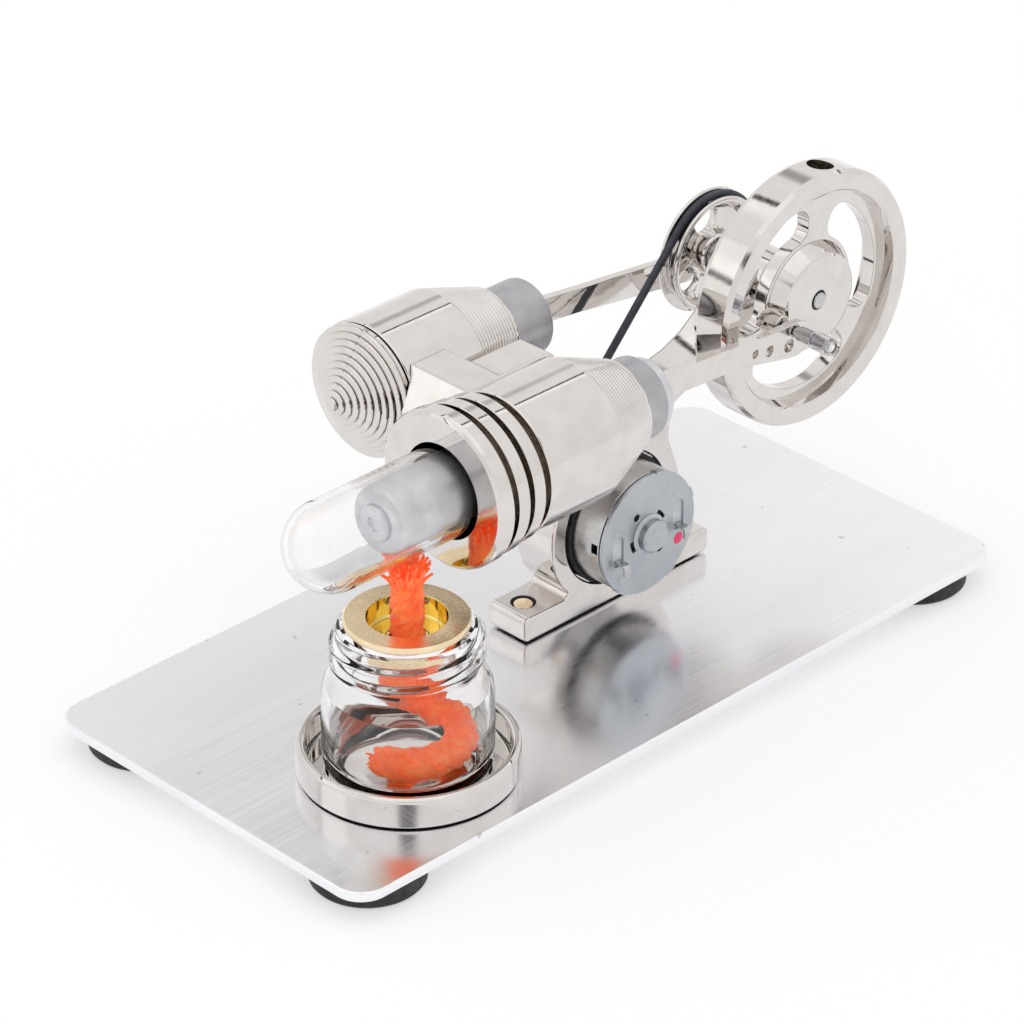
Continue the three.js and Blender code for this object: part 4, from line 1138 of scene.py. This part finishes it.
def make_generator():
    gen = middle("generator_shaft")
    low, high = box_mm("generator_can")
    r = (high.y - low.y) / 2
    back = low.x + 2
    profile = [(1.3, low.x), (3.2, low.x), (3.5, low.x + 0.3), (3.5, back - 0.2), (3.9, back),
               (r - 1.2, back),
               (r - 0.4, back + 0.35), (r, back + 1.2), (r, high.x), (r - 0.8, high.x), (r - 0.8, back + 0.8),
               (1.3, back + 0.8)]
    can = turned(profile, "X", gen, 0.2, True)
    notch = bmesh.new()
    bmesh.ops.create_cube(notch, size=1)
    bmesh.ops.scale(notch, vec=(1.5, 3, 1.9), verts=notch.verts)
    bmesh.ops.translate(notch, vec=(high.x - 1.0, gen.y - r + 0.3, gen.z + 0.6), verts=notch.verts)
    can = cut(can, notch)
    piece("can_shell", can, CAN, "frame", ["generator_can"])

    low, high = box_mm("generator_sleeve")
    outer = (high.y - low.y) / 2
    ring = hoop(r + 0.05, outer, low.x, high.x - 0.3, "X", gen, 0.1)
    piece("sleeve_ring", ring, RUBBER, "frame", ["generator_sleeve"])

    low, high = box_mm("generator_end_plate")
    r = (high.y - low.y) / 2
    outline = arc(gen.y, gen.z, r, 0, 358, 179)
    loops = [outline]
    windows = []
    for node, dy, dz in (("terminal_burner_side", -7.6, -0.8), ("terminal_flywheel_side", 7.6, 0.8)):
        cy, cz = gen.y + dy, gen.z + dz
        windows.append((cy, cz))
        loops.append(arc(cy, cz + 1.7, 1.3, 0, 180, 12) + arc(cy, cz - 1.7, 1.3, 180, 360, 12))
    for angle in (125, 305):
        t = math.radians(angle)
        loops.append(round_hole(gen.y + 5.2 * math.cos(t), gen.z + 5.2 * math.sin(t), 0.7))
    for angle in (40, 200):
        loops.append(rounded(arc(gen.y, gen.z, 4.55, angle - 17, angle + 17, 12)
                             + arc(gen.y, gen.z, 3.75, angle + 17, angle - 17, 12), 0.3, True, 3))
    plate = flat_shape(loops, low.x, high.x, 0.16, "X", 2)
    piece("end_plate_zinc", plate, ZINC, "frame", ["generator_end_plate"])

    # painted shade: a near-black disc behind the end plate, seen through its holes, where the can's inside
    # lies in shade
    inner = bar(r - 1.4, low.x - 0.28, low.x - 0.08, "X", gen, 0.02, ROUND)
    piece("end_plate_painted_shade", inner, PAINTED_SHADE_DARK, "frame")
    for k, (cy, cz) in enumerate(windows):
        carrier = flat_shape([arc(cy, cz + 1.7, 1.6, 0, 180, 12) + arc(cy, cz - 1.7, 1.6, 180, 360, 12)],
                             low.x - 0.06, low.x + 0.34, 0.1)
        piece(f"terminal_carrier_{k}", carrier, TAG_WHITE, "frame")
    crimps = []
    for angle, out in ((157, 8.9), (225, 9.4), (38, 9.3), (345, 9.6)):
        spot = polar(gen, out, angle)
        crimps.append(turned([(0.45, high.x - 0.05), (1.15, high.x - 0.05), (1.0, high.x + 0.12),
                              (0.75, high.x + 0.14), (0.5, high.x + 0.02)], "X", spot, 0.08, True, 32))
    piece("end_plate_crimps", join(*crimps), ZINC, "frame")
    tabs = []
    for angle in (20, 75, 140, 235, 300):
        tab = hoop(r - 0.5, r + 0.22, low.x - 0.5, high.x + 0.05, "X", gen, 0.06, ROUND)
        t = math.radians(angle)
        way = Vector((0, math.cos(t), math.sin(t)))
        for face in list(tab.faces):
            out = face.calc_center_median() - Vector((0, gen.y, gen.z))
            out.x = 0
            if out.normalized().dot(way) < math.cos(math.radians(5)):
                tab.faces.remove(face)
        loose = [v for v in tab.verts if not v.link_faces]
        bmesh.ops.delete(tab, geom=loose, context="VERTS")
        edges = [e for e in tab.edges if len(e.link_faces) == 1]
        bmesh.ops.holes_fill(tab, edges=edges)
        tabs.append(tab)
    piece("end_plate_tabs", join(*tabs), ZINC, "frame")
    dot = polar(gen, 8.7, 332)
    drop = [(0, high.x + 0.1), (0.9, high.x + 0.1), (1.25, high.x - 0.02), (0, high.x - 0.02)]
    piece("paint_spot", turned(drop, "X", dot, 0.08, segments=40), PAINT, "frame")

    low, high = box_mm("generator_bush")
    r = (high.y - low.y) / 2
    plate_face = box_mm("generator_end_plate")[1].x
    profile = [(0, plate_face + 0.02), (r + 0.75, plate_face + 0.02), (r + 0.75, plate_face + 0.12),
               (r + 0.35, plate_face + 0.3), (r, plate_face + 0.45), (r, high.x - 0.5), (r - 0.5, high.x),
               (1.9, high.x), (1.6, high.x - 0.12), (1.2, high.x - 0.12), (0.9, high.x - 0.02),
               (0, high.x - 0.02)]
    bush = turned(profile, "X", gen, 0.12, segments=96)
    piece("bush_turned", bush, ZINC, "frame", ["generator_bush"])

    for node, sign in (("terminal_burner_side", -1), ("terminal_flywheel_side", 1)):
        low, high = box_mm(node)
        cy = (low.y + high.y) / 2
        top = high.z
        route = [(low.x, top - 0.25), (high.x - 1.0, top - 0.25), (high.x - 0.45, top - 0.35),
                 (high.x - 0.25, top - 0.8), (high.x - 0.25, low.z + 0.5)]
        route = [Vector((x, cy, z)) for x, z in route]
        route = through(route, 6)
        bm = bmesh.new()
        rings = []
        for i, here in enumerate(route):
            side = Vector((0, 1, 0))
            up = heading(route, i).cross(side)
            rings.append([bm.verts.new(here + side * (0.75 * a) + up * (0.2 * b))
                          for a, b in ((-1, -1), (1, -1), (1, 1), (-1, 1))])
        skin(bm, rings)
        bm.faces.new(rings[0])
        bm.faces.new(rings[-1])
        bmesh.ops.recalc_face_normals(bm, faces=bm.faces)
        piece(node + "_tag", bm, STEEL, "frame", [node], bevel=0.07)

    low, high = box_mm("generator_magnet")
    outer = (high.y - low.y) / 2
    magnet = hoop(8.6, outer, low.x, high.x, "X", gen, 0.2, 96)
    piece("magnet_ring", magnet, SINTER, "frame", ["generator_magnet"])
    low, high = box_mm("generator_armature")
    outer = (high.y - low.y) / 2
    slots = []
    for angle in (0, 120, 240):
        slots += arc(gen.y, gen.z, outer, angle - 48, angle + 48, 16)
        slots.append(tuple(polar(gen, 3.2, angle + 60).yz))
    core = flat_shape([rounded(slots, 0.4, True, 2), round_hole(gen.y, gen.z, 1.3)], low.x, high.x, 0.15)
    piece("armature_core", core, SINTER, "generator_rotor", ["generator_armature"])

    low, high = box_mm("generator_shaft")
    profile = [(0, low.x), (0.8, low.x), (1, low.x + 0.2), (1, high.x), (0, high.x)]
    piece("rotor_shaft", turned(profile, "X", gen, 0.06, segments=48), STEEL, "generator_rotor",
          ["generator_shaft"])
    low, high = box_mm("generator_pulley")
    b, f = low.x, high.x
    profile = [(1.3, b), (3.6, b), (3.9, b + 0.25), (3.8, b + 0.6), (2.9, b + 0.95), (2.7, b + 1.2),
               (2.7, f - 1.2),
               (2.9, f - 0.95), (3.8, f - 0.6), (3.9, f - 0.25), (3.6, f), (1.3, f)]
    small_pulley = turned(profile, "X", gen, 0.15, True, 72)
    piece("rotor_pulley", small_pulley, BRASS, "generator_rotor", ["generator_pulley"])


make_generator()


# ---------------------------------------------------------------- stage and light

FLOOR_HALF = 1.6
FLOOR_GLOW = 0.48                # the floor is a lit white board, so the model's shadow on it is faint


def make_stage():
    bm = bmesh.new()
    bmesh.ops.create_grid(bm, x_segments=2, y_segments=2, size=FLOOR_HALF)
    floor = new_object("floor", bm)
    floor.location.z = -0.0002
    material, nodes, links, shader = new_material("floor_white")
    cloud = add_noise(nodes, links, 3, 2)
    links.new(add_ramp(nodes, links, cloud, [(0.3, 0.52), (0.7, 0.54)]), shader.inputs["Base Color"])
    shader.inputs["Roughness"].default_value = 0.9
    shader.inputs["Specular IOR Level"].default_value = 0.0
    shader.inputs["Emission Color"].default_value = (1, 1, 1, 1)
    shader.inputs["Emission Strength"].default_value = FLOOR_GLOW
    floor.data.materials.append(material)


TENT_SEAM = Vector((0.7246, -0.3786, 0.5786))
TENT_MOUTH = Vector((0.615, -0.605, 0.505))
TENT_GAP = Vector((-0.579, 0.550, 0.602))


def world_value(nodes, links, direction, normal, stops):
    """A ramp over how far a direction lies along `normal`."""
    along = nodes.new("ShaderNodeVectorMath")
    along.operation = "DOT_PRODUCT"
    along.inputs[1].default_value = normal
    links.new(direction, along.inputs[0])
    half = nodes.new("ShaderNodeMath")
    half.operation = "MULTIPLY_ADD"
    half.inputs[1].default_value = 0.5
    half.inputs[2].default_value = 0.5
    links.new(along.outputs["Value"], half.inputs[0])
    return add_ramp(nodes, links, half.outputs[0], [((stop + 1) / 2, tone) for stop, tone in stops])


def make_world():
    """A white light tent: a dark seam between wall and roof, a dark mouth in front, a dim patch beyond."""
    world = bpy.data.worlds.new("tent")
    bpy.context.scene.world = world
    world.use_nodes = True
    nodes, links = world.node_tree.nodes, world.node_tree.links
    place = nodes.new("ShaderNodeTexCoord")
    direction = place.outputs["Generated"]
    total = world_value(nodes, links, direction, (0, 0, 1), [
        (-0.2, (0.96, 0.95, 0.94)), (0.25, (0.95, 0.94, 0.93)), (0.55, (0.98, 0.975, 0.965)),
        (1.0, (1.0, 1.0, 1.0))])
    seam = world_value(nodes, links, direction, TENT_SEAM, [
        (-0.022, 1.0), (-0.012, 0.06), (0.012, 0.06), (0.02, 1.22), (0.06, 1.22), (0.09, 1.0)])
    mouth = world_value(nodes, links, direction, TENT_MOUTH, [(0.986, 1.0), (0.993, 0.1)])
    gap = world_value(nodes, links, direction, TENT_GAP, [(0.992, 1.0), (0.9975, 0.45)])
    for tone in (seam, mouth, gap):
        total = add_multiply(nodes, links, total, tone)
    background = nodes["Background"]
    links.new(total, background.inputs["Color"])
    background.inputs["Strength"].default_value = 1.0


def area_light(name, place, aim, size, power):
    light = bpy.data.lights.new(name, "AREA")
    light.shape = "RECTANGLE"
    light.size, light.size_y = size
    light.energy = power
    holder = bpy.data.objects.new(name, light)
    holder.location = place
    holder.rotation_euler = (Vector(aim) - Vector(place)).to_track_quat("-Z", "Y").to_euler()
    bpy.context.scene.collection.objects.link(holder)


def make_lights():
    area_light("softbox_top", (0.1, -0.1, 0.9), (0, 0, 0.03), (0.9, 0.9), 0.4)
    area_light("softbox_left", (-0.5, -0.75, 0.45), (0, 0, 0.05), (0.5, 0.7), 0.2)


make_stage()
make_world()
make_lights()
bpy.context.scene.view_settings.view_transform = "Standard"
